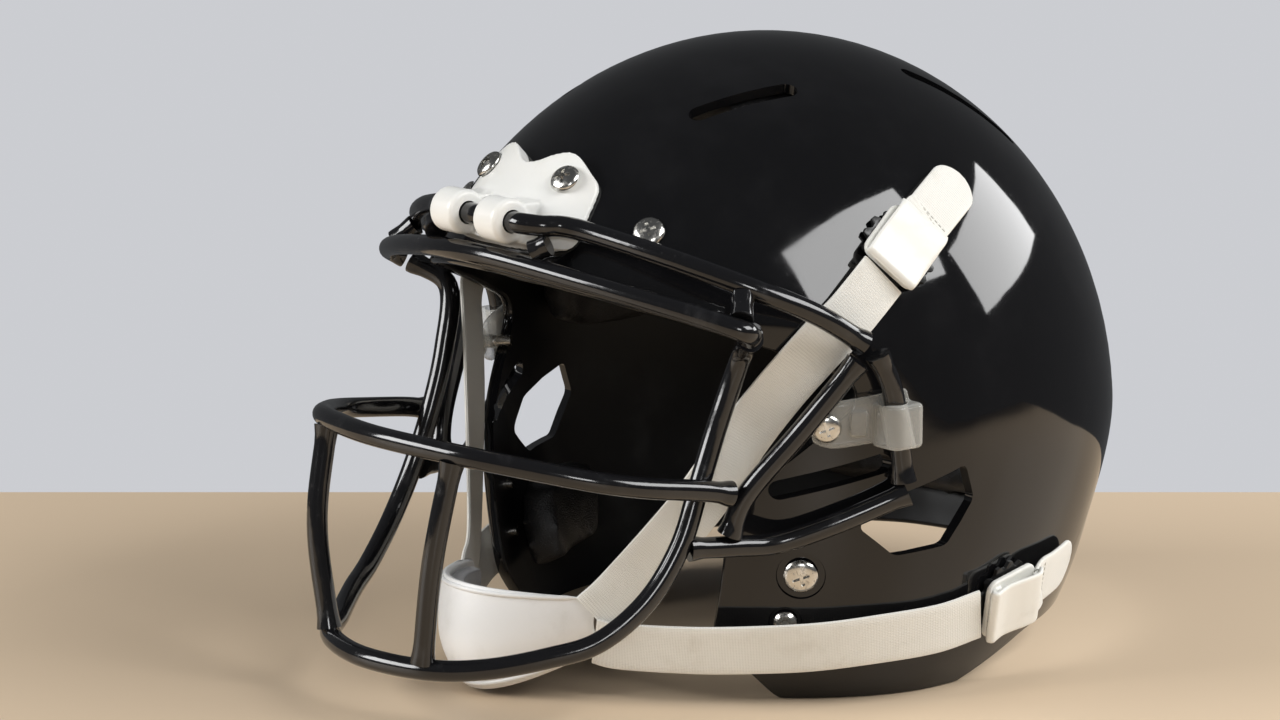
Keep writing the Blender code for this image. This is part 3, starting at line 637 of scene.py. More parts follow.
def fillet(corners: Sequence[tuple[float, float, float]], steps: int = 6) -> list[Vector]:
    """An outline with its corners rounded.

    Args:
        corners: Each corner's two places and its radius, in millimetres.
        steps: How many parts each rounding is cut into.

    Returns:
        The outline's points in metres.
    """
    points = []
    count = len(corners)
    for n, (y, z, radius) in enumerate(corners):
        here = Vector((y, z)) * MM
        if radius == 0.0:
            points.append(here)
            continue
        back = (Vector(corners[n - 1][:2]) * MM - here).normalized()
        on = (Vector(corners[(n + 1) % count][:2]) * MM - here).normalized()
        half = 0.5 * math.acos(max(-1.0, min(1.0, back.dot(on))))
        run = radius * MM / math.tan(half)
        middle = here + (back + on).normalized() * (radius * MM / math.sin(half))
        first, last = here + back * run - middle, here + on * run - middle
        turn = math.atan2(first.x * last.y - first.y * last.x, first.dot(last))
        for k in range(steps + 1):
            points.append(middle + Matrix.Rotation(turn * k / steps, 2) @ first)
    return points


@dataclass
class Spot:
    """One place on a swept shape's route, with its own cross directions."""

    point: Vector
    across: Vector
    out: Vector
    wide: float = 1.0
    thick: float = 1.0


def wire_spots(route: Sequence[Vector], flare: float, reach: float) -> list[Spot]:
    """Spots along a round wire, without twist.

    Args:
        route: The wire's middle line.
        flare: How much thicker the wire is at its welded ends.
        reach: How far the flare reaches, in metres.

    Returns:
        The spots.
    """
    run = [0.0]
    for a, b in zip(route, route[1:]):
        run.append(run[-1] + (b - a).length)
    spots = []
    across = Vector((0.0, 0.0, 1.0))
    for n, p in enumerate(route):
        along = (route[min(n + 1, len(route) - 1)] - route[max(n - 1, 0)]).normalized()
        across = (across - along * across.dot(along)).normalized()
        near = min(run[n], run[-1] - run[n]) / reach
        swell = 1.0 + flare * (1.0 - fade(near)) if near < 1.0 else 1.0
        spots.append(Spot(p, across, along.cross(across), swell, swell))
    return spots


def band_spots(route: Sequence[Vector], faces: Sequence[Vector]) -> list[Spot]:
    """Spots along a flat band.

    Args:
        route: The band's middle line.
        faces: Which way its broad face looks at each point.

    Returns:
        The spots.
    """
    spots = []
    for n, (p, face) in enumerate(zip(route, faces)):
        along = (route[min(n + 1, len(route) - 1)] - route[max(n - 1, 0)]).normalized()
        across = along.cross(face).normalized()
        spots.append(Spot(p, across, across.cross(along).normalized()))
    return spots


def round_outline(radius: float, steps: int = 16) -> list[tuple[float, float]]:
    """A circle of a radius in metres."""
    angles = [2.0 * math.pi * k / steps for k in range(steps)]
    return [(radius * math.cos(a), radius * math.sin(a)) for a in angles]


def band_outline(width: float, thick: float, cells: int = 8, edge: int = 3) -> list[tuple[float, float]]:
    """A flat band's section with round edges.

    Args:
        width: The whole width in metres.
        thick: The thickness in metres.
        cells: How many parts each broad face is cut into.
        edge: How many parts each round edge is cut into.

    Returns:
        The section's points.
    """
    half, low = 0.5 * width, 0.5 * thick
    flat = half - low
    points = [(flat * (2.0 * k / cells - 1.0), low) for k in range(cells)]
    turns = [math.pi * k / edge for k in range(edge)]
    points += [(flat + low * math.sin(a), low * math.cos(a)) for a in turns]
    points += [(-flat * (2.0 * k / cells - 1.0), -low) for k in range(cells)]
    points += [(-flat - low * math.sin(a), -low * math.cos(a)) for a in turns]
    return points


def sweep(
    spots: Sequence[Spot], outline: Sequence[tuple[float, float]], start: float = 0.0
) -> bmesh.types.BMesh:
    """A closed solid with one section carried along spots, charted across and along.

    Args:
        spots: The places along the route.
        outline: The section: offsets across and outwards, in metres.
        start: The length at which the chart starts.

    Returns:
        The solid.
    """
    count, rows = len(outline), len(spots) - 1
    run = [start]
    for a, b in zip(spots, spots[1:]):
        run.append(run[-1] + (b.point - a.point).length)
    solid = bmesh.new()
    chart = solid.loops.layers.uv.new(UV_NAME)
    bmesh.ops.create_grid(solid, x_segments=count, y_segments=rows, size=0.5)
    charted = {}
    for corner in solid.verts:
        n, k = round((corner.co.x + 0.5) * count), round((corner.co.y + 0.5) * rows)
        a, b = outline[n % count]
        spot = spots[k]
        charted[corner] = (a * spot.wide, run[k])
        corner.co = spot.point + spot.across * (a * spot.wide) + spot.out * (b * spot.thick)
    for face in solid.faces:
        for loop in face.loops:
            loop[chart].uv = charted[loop.vert]
    bmesh.ops.remove_doubles(solid, verts=solid.verts, dist=0.002 * MM)
    open_edges = [edge for edge in solid.edges if edge.is_boundary]
    bmesh.ops.holes_fill(solid, edges=open_edges, sides=0)
    bmesh.ops.recalc_face_normals(solid, faces=solid.faces)
    return solid


def turned(profile: Sequence[tuple[float, float]], frame: Matrix, steps: int = 40) -> bmesh.types.BMesh:
    """A closed solid turned round a frame's Z.

    Args:
        profile: Radius and height in millimetres, from the axis back to the axis.
        frame: Where the solid stands.
        steps: How many parts the turn is cut into.

    Returns:
        The solid.
    """
    solid = bmesh.new()
    chain = [solid.verts.new((radius * MM, 0.0, height * MM)) for radius, height in profile]
    edges = [solid.edges.new(pair) for pair in zip(chain, chain[1:])]
    bmesh.ops.spin(
        solid,
        geom=chain + edges,
        axis=(0.0, 0.0, 1.0),
        cent=(0.0, 0.0, 0.0),
        angle=2.0 * math.pi,
        steps=steps,
        use_merge=True,
    )
    bmesh.ops.remove_doubles(solid, verts=solid.verts, dist=0.001 * MM)
    bmesh.ops.recalc_face_normals(solid, faces=solid.faces)
    bmesh.ops.transform(solid, matrix=frame, verts=solid.verts)
    return solid


def block(
    size: tuple[float, float, float],
    frame: Matrix,
    upright: float = 0.0,
    edge: float = 0.0,
) -> bmesh.types.BMesh:
    """A box with rounded corners and edges.

    Args:
        size: Its sizes in millimetres.
        frame: Where its middle lies.
        upright: The radius of its upright corners in millimetres.
        edge: The radius of its other edges in millimetres.

    Returns:
        The solid.
    """
    solid = bmesh.new()
    bmesh.ops.create_cube(solid, size=1.0)
    bmesh.ops.scale(solid, vec=Vector(size) * MM, verts=solid.verts)
    if upright:
        corners = [e for e in solid.edges if abs(e.verts[0].co.z - e.verts[1].co.z) > 1e-6]
        soften(solid, corners, upright, 5)
    if edge:
        ring = [e for e in solid.edges if e.calc_face_angle(0.0) > 1.2]
        soften(solid, ring, edge, 3)
    bmesh.ops.transform(solid, matrix=frame, verts=solid.verts)
    return solid


def soften(
    solid: bmesh.types.BMesh, edges: Iterable[bmesh.types.BMEdge], radius: float, steps: int
) -> None:
    """Rounds edges.

    Args:
        solid: What they belong to.
        edges: The edges.
        radius: Their radius in millimetres.
        steps: How many parts the rounding is cut into.
    """
    bmesh.ops.bevel(
        solid,
        geom=list(edges),
        offset=radius * MM,
        segments=steps,
        profile=0.5,
        affect="EDGES",
        clamp_overlap=True,
        material=-1,
    )


def joined(parts: Sequence[bmesh.types.BMesh]) -> bmesh.types.BMesh:
    """One bmesh that holds all the parts, which it uses up."""
    whole = bmesh.new()
    whole.loops.layers.uv.new(UV_NAME)
    for part in parts:
        mesh = bpy.data.meshes.new("part")
        part.to_mesh(mesh)
        part.free()
        whole.from_mesh(mesh)
        bpy.data.meshes.remove(mesh)
    return whole


def bench(solid: bmesh.types.BMesh) -> bpy.types.Object:
    """A working object for modifiers, made from a bmesh that it uses up."""
    mesh = bpy.data.meshes.new("bench")
    solid.to_mesh(mesh)
    solid.free()
    item = bpy.data.objects.new("bench", mesh)
    bpy.context.scene.collection.objects.link(item)
    return item


def take(item: bpy.types.Object, *helpers: bpy.types.Object) -> bmesh.types.BMesh:
    """The working object's shape with its modifiers applied; it and its helpers are removed.

    Args:
        item: The working object.
        helpers: Other objects that its modifiers use.

    Returns:
        The finished shape.
    """
    bpy.context.view_layer.update()
    graph = bpy.context.evaluated_depsgraph_get()
    solid = bmesh.new()
    solid.from_object(item, graph)
    for old in (item, *helpers):
        mesh = old.data
        bpy.data.objects.remove(old, do_unlink=True)
        bpy.data.meshes.remove(mesh)
    return solid


def carved(solid: bmesh.types.BMesh, cutter: bmesh.types.BMesh) -> bmesh.types.BMesh:
    """A solid less a cutter; both are used up."""
    item, tool = bench(solid), bench(cutter)
    cut = item.modifiers.new("cut", "BOOLEAN")
    cut.operation = "DIFFERENCE"
    cut.solver = "EXACT"
    cut.object = tool
    return take(item, tool)


def fused(parts: Sequence[bmesh.types.BMesh], grain: float, rounds: int = 8) -> bmesh.types.BMesh:
    """Parts melted into one moulded body with soft edges.

    Args:
        parts: Closed solids that overlap.
        grain: The fineness of the new surface in millimetres.
        rounds: How often it is smoothed.

    Returns:
        The body.
    """
    item = bench(joined(parts))
    melt = item.modifiers.new("melt", "REMESH")
    melt.mode = "VOXEL"
    melt.voxel_size = grain * MM
    melt.use_smooth_shade = True
    soft = item.modifiers.new("soft", "SMOOTH")
    soft.factor = 0.5
    soft.iterations = rounds
    return take(item)


def add_piece(
    name: str,
    solid: bmesh.types.BMesh,
    material: bpy.types.Material,
    body: str = "",
    stands_for: Sequence[str] = (),
    crease: float = 38.0,
) -> bpy.types.Object:
    """Puts a finished shape into the scene.

    Args:
        name: The piece's name.
        solid: Its shape, which is used up.
        material: Its finish.
        body: The body that it rides on, or nothing to leave it unattached.
        stands_for: The CAD nodes that it replaces.
        crease: The angle in degrees past which an edge stays sharp.

    Returns:
        The piece.
    """
    mesh = bpy.data.meshes.new(name)
    solid.to_mesh(mesh)
    solid.free()
    mesh.shade_smooth()
    mesh.set_sharp_from_angle(angle=math.radians(crease))
    mesh.materials.clear()
    mesh.materials.append(material)
    item = bpy.data.objects.new(name, mesh)
    bpy.context.scene.collection.objects.link(item)
    if body:
        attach(item, body)
    if stands_for:
        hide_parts(*stands_for)
    LOG.info("%s: %d faces", name, len(mesh.polygons))
    return item


# ------------------------------------------------------------------ the shell's form


@dataclass(frozen=True)
class ShellForm:
    """The shell's outer surface: an ellipsoid whose cheeks draw in towards the jaw flaps."""

    middle: tuple[float, float, float] = (0.0, -11.4, 81.0)
    half_width: float = 118.7
    half_length: float = 142.7
    half_height: float = 144.6
    wall: float = 4.0
    taper_start: float = -10.0
    taper_length: float = 78.0
    taper_depth: float = 0.30
    taper_full: float = 95.0
    taper_fade: float = 50.0
    nape_tuck: float = 0.06
    nape_top: float = 90.0
    nape_fade: float = 50.0

    @property
    def heart(self) -> Vector:
        """The ellipsoid's middle in the frame."""
        return at(*self.middle)

    def level(self, p: Vector) -> float:
        """Below zero inside the outer surface and above zero outside it."""
        x, y, z = p.x / MM, (p.y - DATUM.y) / MM, p.z / MM
        ahead = max(0.0, (self.taper_start - y) / self.taper_length)
        low = 1.0 - fade((z - self.taper_full) / self.taper_fade)
        width = max(1.0 - self.taper_depth * ahead * ahead * low, 0.1)
        a = x / (self.half_width * width)
        b = (y - self.middle[1]) / self.half_length
        if b > 0.0:
            b /= 1.0 - self.nape_tuck * fade((self.nape_top - z) / self.nape_fade)
        c = (z - self.middle[2]) / self.half_height
        return a * a + b * b + c * c - 1.0

    def hit(self, start: Vector, way: Vector) -> Vector:
        """The point of the outer surface met from a start inside it."""
        near, far = 0.0, 0.3
        for _ in range(30):
            half = 0.5 * (near + far)
            if self.level(start + way * half) < 0.0:
                near = half
            else:
                far = half
        return start + way * near

    def normal(self, p: Vector) -> Vector:
        """The outward direction at a point of the surface."""
        step = 0.2 * MM
        slopes = [self.level(p + axis * step) - self.level(p - axis * step) for axis in Matrix.Identity(3)]
        return Vector(slopes).normalized()

    def side_point(self, y: float, z: float, side: Side, lift: float = 0.0) -> Vector:
        """A point of the side wall, lifted off it."""
        p = self.hit(at(0.0, y, z), Vector((side.value, 0.0, 0.0)))
        return p + self.normal(p) * (lift * MM)

    def front_point(self, x: float, z: float, lift: float = 0.0) -> Vector:
        """A point of the forehead, lifted off it."""
        p = self.hit(at(x, self.middle[1], z), Vector((0.0, -1.0, 0.0)))
        return p + self.normal(p) * (lift * MM)

    def top_point(self, x: float, y: float, lift: float = 0.0) -> Vector:
        """A point of the crown, lifted off it."""
        p = self.hit(at(x, y, self.middle[2]), Vector((0.0, 0.0, 1.0)))
        return p + self.normal(p) * (lift * MM)

    def seat(self, p: Vector) -> Matrix:
        """A frame on the surface with its Z outwards and its Y upwards."""
        out = self.normal(p)
        across = Vector((0.0, 0.0, 1.0)).cross(out).normalized()
        frame = Matrix((across, out.cross(across), out)).transposed().to_4x4()
        frame.translation = p
        return frame


FORM = ShellForm()


@dataclass
class HardShell:
    """The moulded shell with its rolled rim, ear holes, cheek slots, vents and screw recesses."""

    rim: tuple[tuple[float, float, float], ...] = (
        (-190.0, 172.5, 0.0),
        (-81.0, 129.0, 30.0),
        (-47.0, 114.0, 9.0),
        (-81.0, 77.0, 14.0),
        (-85.5, 60.0, 20.0),
        (-85.5, 22.0, 14.0),
        (-62.0, -3.0, 18.0),
        (-6.0, -3.0, 30.0),
        (34.0, 13.0, 40.0),
        (100.0, 17.0, 40.0),
        (190.0, 17.0, 0.0),
    )
    ear_hole: tuple[tuple[float, float, float], ...] = (
        (-52.0, 65.5, 2.5),
        (-42.0, 76.0, 3.5),
        (-15.5, 85.5, 2.0),
        (-11.5, 73.0, 5.0),
        (-22.0, 57.0, 4.0),
        (-40.0, 54.5, 4.0),
    )
    cheek_slot: tuple[tuple[float, float], ...] = ((-73.0, 78.5), (-45.0, 88.0))
    vents: tuple[tuple[tuple[float, float], ...], ...] = (
        ((38.0, -70.0), (47.0, -38.0)),
        ((41.0, 26.0), (50.0, 66.0)),
    )
    slot_height: float = 7.0
    vent_width: float = 8.0
    recesses: tuple[tuple[float, float, float, float], ...] = (
        (-66.0, 47.5, 8.4, 1.1),
        (-68.0, 30.0, 5.6, 0.7),
    )
    lip: float = 1.3
    columns: int = 320
    outer_rows: int = 46
    lip_rows: int = 6
    inner_rows: int = 20
    pole: Vector = field(default_factory=lambda: Vector((0.0, 0.866, 0.5)))

    def build(self, finishes: Finishes) -> None:
        """Makes the shell and dresses it."""
        solid = carved(self.wall(), joined(self.cutters()))
        piece = add_piece("shell_skin", solid, finishes.shell, "helmet", ("shell",), 35.0)
        piece.data.materials.append(finishes.inside)
        for face in piece.data.polygons:
            out = FORM.normal(face.center)
            deep = FORM.level(face.center + out * (0.55 * FORM.wall * MM)) < 0.0
            face.material_index = 1 if deep and face.normal.dot(out) < -0.5 else 0
        self.settle_normals(piece.data)

    def way(self, around: float, off: float) -> Vector:
        """The direction at an angle round the pole and an angle off it."""
        side = Vector((1.0, 0.0, 0.0))
        up = self.pole.cross(side) * -1.0
        return self.pole * math.cos(off) + (side * math.cos(around) + up * math.sin(around)) * math.sin(off)

    def on_shell(self, p: Vector, ring: Sequence[Vector]) -> bool:
        """Whether a point of the surface is on the shell's side of the rim line."""
        y, z = p.y - DATUM.y, p.z
        inside = False
        for a, b in zip(ring, ring[1:] + ring[:1]):
            if (a.y > z) != (b.y > z) and y < a.x + (z - a.y) * (b.x - a.x) / (b.y - a.y):
                inside = not inside
        return inside

    def reach(self, around: float, ring: Sequence[Vector]) -> float:
        """The angle off the pole at which the surface meets the rim line."""
        off = 0.4
        while off < 3.1 and self.on_shell(FORM.hit(FORM.heart, self.way(around, off)), ring):
            off += 0.04
        low, high = off - 0.04, off
        for _ in range(16):
            half = 0.5 * (low + high)
            if self.on_shell(FORM.hit(FORM.heart, self.way(around, half)), ring):
                low = half
            else:
                high = half
        return low

    def spread(self) -> list[tuple[float, float]]:
        """The angles round the pole that part the rim evenly, each with its reach."""
        far = [Vector((0.4, 0.05)), Vector((0.4, 0.5)), Vector((-0.4, 0.5)), Vector((-0.4, 0.172))]
        ring = fillet(self.rim, 10) + far
        samples = 288
        trial = [2.0 * math.pi * n / samples for n in range(samples + 1)]
        spots = [FORM.hit(FORM.heart, self.way(a, self.reach(a, ring))) for a in trial]
        run = [0.0]
        for a, b in zip(spots, spots[1:]):
            run.append(run[-1] + (b - a).length + 1.2 * MM)
        found, k = [], 0
        for n in range(self.columns):
            target = run[-1] * n / self.columns
            while run[k + 1] < target:
                k += 1
            share = (target - run[k]) / (run[k + 1] - run[k])
            around = trial[k] + (trial[k + 1] - trial[k]) * share
            found.append((around, self.reach(around, ring)))
        return found

    def wall(self) -> bmesh.types.BMesh:
        """The wall as one closed skin: out to the rim, round the rolled lip and back along the inside."""
        columns = self.spread()
        rows = self.outer_rows + self.lip_rows + self.inner_rows
        skin = bmesh.new()
        bmesh.ops.create_grid(skin, x_segments=self.columns, y_segments=rows, size=0.5)
        for corner in skin.verts:
            around, reach = columns[round((corner.co.x + 0.5) * self.columns) % self.columns]
            corner.co = self.wall_point(around, reach, round((corner.co.y + 0.5) * rows))
        bmesh.ops.remove_doubles(skin, verts=skin.verts, dist=0.005 * MM)
        bmesh.ops.recalc_face_normals(skin, faces=skin.faces)
        cut = bmesh.ops.bisect_plane(
            skin,
            geom=skin.verts[:] + skin.edges[:] + skin.faces[:],
            plane_co=(0.0, 0.0, 0.0),
            plane_no=(0.0, 0.0, 1.0),
            clear_inner=True,
        )
        edges = [item for item in cut["geom_cut"] if isinstance(item, bmesh.types.BMEdge)]
        bmesh.ops.edgeloop_fill(skin, edges=edges)
        return skin

    def wall_point(self, around: float, reach: float, row: int) -> Vector:
        """One point of the wall.

        Args:
            around: Its angle round the pole.
            reach: The rim's angle off the pole there.
            row: How far along the skin it is, from the pole outside to the pole inside.

        Returns:
            The point.
        """
        edge = reach - self.lip / 140.0
        thick = FORM.wall * MM
        if row <= self.outer_rows:
            return FORM.hit(FORM.heart, self.way(around, edge * row / self.outer_rows))
        back = row - self.outer_rows - self.lip_rows
        if back >= 0:
            p = FORM.hit(FORM.heart, self.way(around, edge * (1.0 - back / self.inner_rows)))
            return p - FORM.normal(p) * thick
        p = FORM.hit(FORM.heart, self.way(around, edge))
        out = FORM.normal(p)
        along = FORM.hit(FORM.heart, self.way(around, reach)) - p
        along = (along - out * along.dot(out)).normalized()
        turn = math.pi * (row - self.outer_rows) / self.lip_rows
        return p - out * (0.5 * thick * (1.0 - math.cos(turn))) + along * (self.lip * MM * math.sin(turn))

    def cutters(self) -> list[bmesh.types.BMesh]:
        """The tools for every opening."""
        tools = []
        for side in Side:
            out = Vector((side.value * 28.0 * MM, 0.0, 0.0))
            corners = [FORM.side_point(p.x / MM, p.y / MM, side) for p in fillet(self.ear_hole, 5)]
            tools.append(self.prism(corners, out))
            ends = [FORM.side_point(y, z, side) for y, z in self.cheek_slot]
            tools.append(self.prism(self.slot(*ends, self.slot_height, Vector((0.0, 0.0, 1.0))), out * 0.6))
            for vent in self.vents:
                ends = [FORM.top_point(side.value * x, y) for x, y in vent]
                out_way = FORM.normal(0.5 * (ends[0] + ends[1])) * (14.0 * MM)
                outline = self.slot(*ends, self.vent_width, Vector((1.0, 0.0, 0.0)))
                tools.append(self.prism(outline, out_way))
            for y, z, radius, deep in self.recesses:
                seat = FORM.seat(FORM.side_point(y, z, side))
                brim = radius + 0.5
                profile = ((0.0, 4.0), (brim, 4.0), (brim, 0.3), (radius, -deep), (0.0, -deep))
                tools.append(turned(profile, seat))
        return tools

    @staticmethod
    def slot(a: Vector, b: Vector, width: float, across: Vector) -> list[Vector]:
        """A round-ended slot's outline.

        Args:
            a: One end's middle.
            b: The other end's middle.
            width: The slot's width in millimetres.
            across: Roughly which way it is wide.

        Returns:
            The outline's points.
        """
        along = (b - a).normalized()
        across = (across - along * across.dot(along)).normalized()
        points = []
        for end, sign in ((b, 1.0), (a, -1.0)):
            for k in range(9):
                angle = -0.5 * math.pi + math.pi * k / 8
                way = along * (sign * math.cos(angle)) + across * (sign * math.sin(angle))
                points.append(end + way * (0.5 * width * MM))
        return points

    @staticmethod
    def prism(points: Sequence[Vector], push: Vector) -> bmesh.types.BMesh:
        """A closed prism from an outline moved by -push and +push."""
        solid = bmesh.new()
        face = solid.faces.new([solid.verts.new(p - push) for p in points])
        grown = bmesh.ops.extrude_face_region(solid, geom=[face])
        moved = [item for item in grown["geom"] if isinstance(item, bmesh.types.BMVert)]
        bmesh.ops.translate(solid, vec=2.0 * push, verts=moved)
        bmesh.ops.recalc_face_normals(solid, faces=solid.faces)
        return solid

    @staticmethod
    def settle_normals(mesh: bpy.types.Mesh) -> None:
        """Gives the broad walls the form's own normals, so that the gloss flows past every opening."""
        settled = [corner.vector.copy() for corner in mesh.corner_normals]
        for face in mesh.polygons:
            for n in face.loop_indices:
                p = mesh.vertices[mesh.loops[n].vertex_index].co
                out = FORM.normal(p)
                lean = face.normal.dot(out)
                if lean > 0.93 and abs(FORM.level(p)) < 0.003:
                    settled[n] = out
                elif lean < -0.93 and abs(FORM.level(p + out * (FORM.wall * MM))) < 0.003:
                    settled[n] = -out
        mesh.normals_split_custom_set(settled)


# ------------------------------------------------------------------ the mask


@dataclass
class FaceMask:
    """The welded wires, each in its coat, a little thicker where it is welded."""

    radius: float = 3.75
    flare: float = 0.22
    flare_reach: float = 5.5
    upper_half: tuple[tuple[float, float, float], ...] = (
        (14.0, -138.0, 170.5),
        (21.5, -138.0, 170.5),
        (25.0, -137.2, 170.4),
        (30.0, -133.4, 169.9),
        (38.0, -124.0, 168.8),
        (70.0, -112.0, 162.5),
        (95.4, -96.4, 154.0),
        (107.8, -76.0, 144.0),
        (112.3, -58.0, 132.5),
    )
    lower_half: tuple[tuple[float, float, float], ...] = (
        (0.0, -141.5, 157.5),
        (26.4, -138.0, 156.0),
        (60.0, -127.0, 151.0),
        (88.0, -114.5, 145.5),
        (103.5, -105.0, 141.0),
        (102.0, -99.5, 138.5),
    )
    mouth_half: tuple[tuple[float, float, float], ...] = (
        (0.0, -185.0, 98.5),
        (38.4, -177.5, 97.3),
        (60.0, -163.0, 94.0),
        (76.7, -146.0, 90.0),
        (84.5, -130.0, 87.0),
        (88.4, -110.0, 84.0),
        (90.0, -98.0, 81.5),
    )
    jaw_half: tuple[tuple[float, float, float], ...] = (
        (0.0, -190.0, 20.4),
        (28.9, -183.2, 20.6),
        (45.0, -169.0, 21.8),
        (60.0, -153.0, 26.4),
        (70.0, -139.0, 31.8),
        (77.0, -124.0, 45.0),
        (80.0, -112.0, 63.0),
        (80.0, -103.4, 84.0),
        (81.5, -96.0, 106.0),
        (86.5, -90.5, 128.0),
        (99.5, -97.5, 136.5),
    )
    cheek: tuple[tuple[float, float, float], ...] = (
        (111.6, -61.6, 124.6),
        (101.0, -75.0, 103.0),
        (90.0, -90.5, 80.5),
        (86.6, -94.5, 68.0),
    )
    hinge: tuple[tuple[float, float, float], ...] = (
        (114.0, -51.8, 126.0),
        (115.0, -47.3, 116.0),
        (115.6, -44.5, 100.0),
        (116.4, -42.8, 85.0),
    )
    lower_side: tuple[tuple[float, float, float], ...] = (
        (116.6, -43.5, 78.0),
        (104.0, -62.0, 68.5),
        (91.5, -78.0, 61.5),
        (86.0, -93.0, 61.5),
        (81.5, -106.6, 62.0),
    )
    post: tuple[tuple[float, float, float], ...] = (
        (38.0, -177.8, 92.2),
        (35.5, -184.0, 60.0),
        (29.2, -183.9, 25.6),
    )
    inner_stub: tuple[tuple[float, float, float], ...] = ((31.6, -133.8, 162.8), (30.2, -134.9, 161.9))
    outer_stub: tuple[tuple[float, float, float], ...] = ((97.5, -99.4, 149.4), (100.8, -102.2, 145.9))

    @staticmethod
    def mirrored(half: Sequence[tuple[float, float, float]]) -> list[Vector]:
        """The whole route of a wire from its left half, whose first point may lie on the middle."""
        left = [at(*p) for p in half]
        right = [at(-x, y, z) for x, y, z in half if x > 0.0]
        return right[::-1] + left

    def wire(self, name: str, route: Sequence[Vector], finishes: Finishes, node: str, flare: float) -> None:
        """One wire in place of its CAD node."""
        spots = wire_spots(smooth_route(route, 10), flare, self.flare_reach * MM)
        solid = sweep(spots, round_outline(self.radius * MM, 20))
        add_piece(name, solid, finishes.wire, "mask", (node,), 60.0)

    def build(self, finishes: Finishes) -> None:
        """Makes every wire."""
        whole = (
            ("upper_brow", self.upper_half),
            ("lower_brow", self.lower_half),
            ("mouth", self.mouth_half),
            ("jaw", self.jaw_half),
        )
        for word, half in whole:
            self.wire(f"coated_{word}_wire", self.mirrored(half), finishes, f"{word}_wire", self.flare)
        single = (
            ("cheek_wire", self.cheek, self.flare),
            ("hinge_wire", self.hinge, self.flare),
            ("lower_wire", self.lower_side, self.flare),
            ("centre_post", self.post, self.flare),
            ("inner_stub", self.inner_stub, 0.1),
            ("outer_stub", self.outer_stub, 0.1),
        )
        for side in Side:
            for word, route, flare in single:
                points = [at(x * side.value, y, z) for x, y, z in route]
                node = f"{word}_{side.word}"
                self.wire(f"coated_{node}", self.grown(points), finishes, node, flare)

    @staticmethod
    def grown(points: list[Vector]) -> list[Vector]:
        """The route with each end carried on into the wire it is welded to."""
        first = points[0] + (points[0] - points[1]).normalized() * (2.2 * MM)
        last = points[-1] + (points[-1] - points[-2]).normalized() * (2.2 * MM)
        return [first, *points[1:-1], last] if len(points) > 2 else [first, last]


# ------------------------------------------------------------------ clips and fasteners


def screw(frame: Matrix, head: float, high: float, shank: float, deep: float) -> bmesh.types.BMesh:
    """A domed screw with a cross in its head.

    Args:
        frame: The seat that it stands on.
        head: Its head's radius in millimetres.
        high: Its head's height.
        shank: Its shank's radius.
        deep: How far the shank goes below the seat.

    Returns:
        The screw.
    """
    profile = [(0.0, high)]
    for k in range(1, 7):
        a = 0.5 * math.pi * k / 7
        profile.append((head * 0.97 * math.sin(a), 0.35 + (high - 0.35) * math.cos(a) ** 0.8))
    profile += [(head, 0.5), (head, 0.2), (head - 0.2, 0.05), (shank, 0.05), (shank, -deep), (0.0, -deep)]
    body = turned(profile, Matrix.Identity(4))
    arm, half, points = head * 0.52, head * 0.11, []
    for quarter in range(4):
        turn = Matrix.Rotation(0.35 + 0.5 * math.pi * quarter, 3, "Z")
        points += [turn @ Vector((x, y, 0.0)) for x, y in ((half, -half), (arm, -half), (arm, half))]
    top = Vector((0.0, 0.0, high * MM))
    cross = HardShell.prism([p * MM + top for p in points], Vector((0.0, 0.0, 1.3 * MM)))
    body = carved(body, cross)
    bmesh.ops.transform(body, matrix=frame, verts=body.verts)
    return body


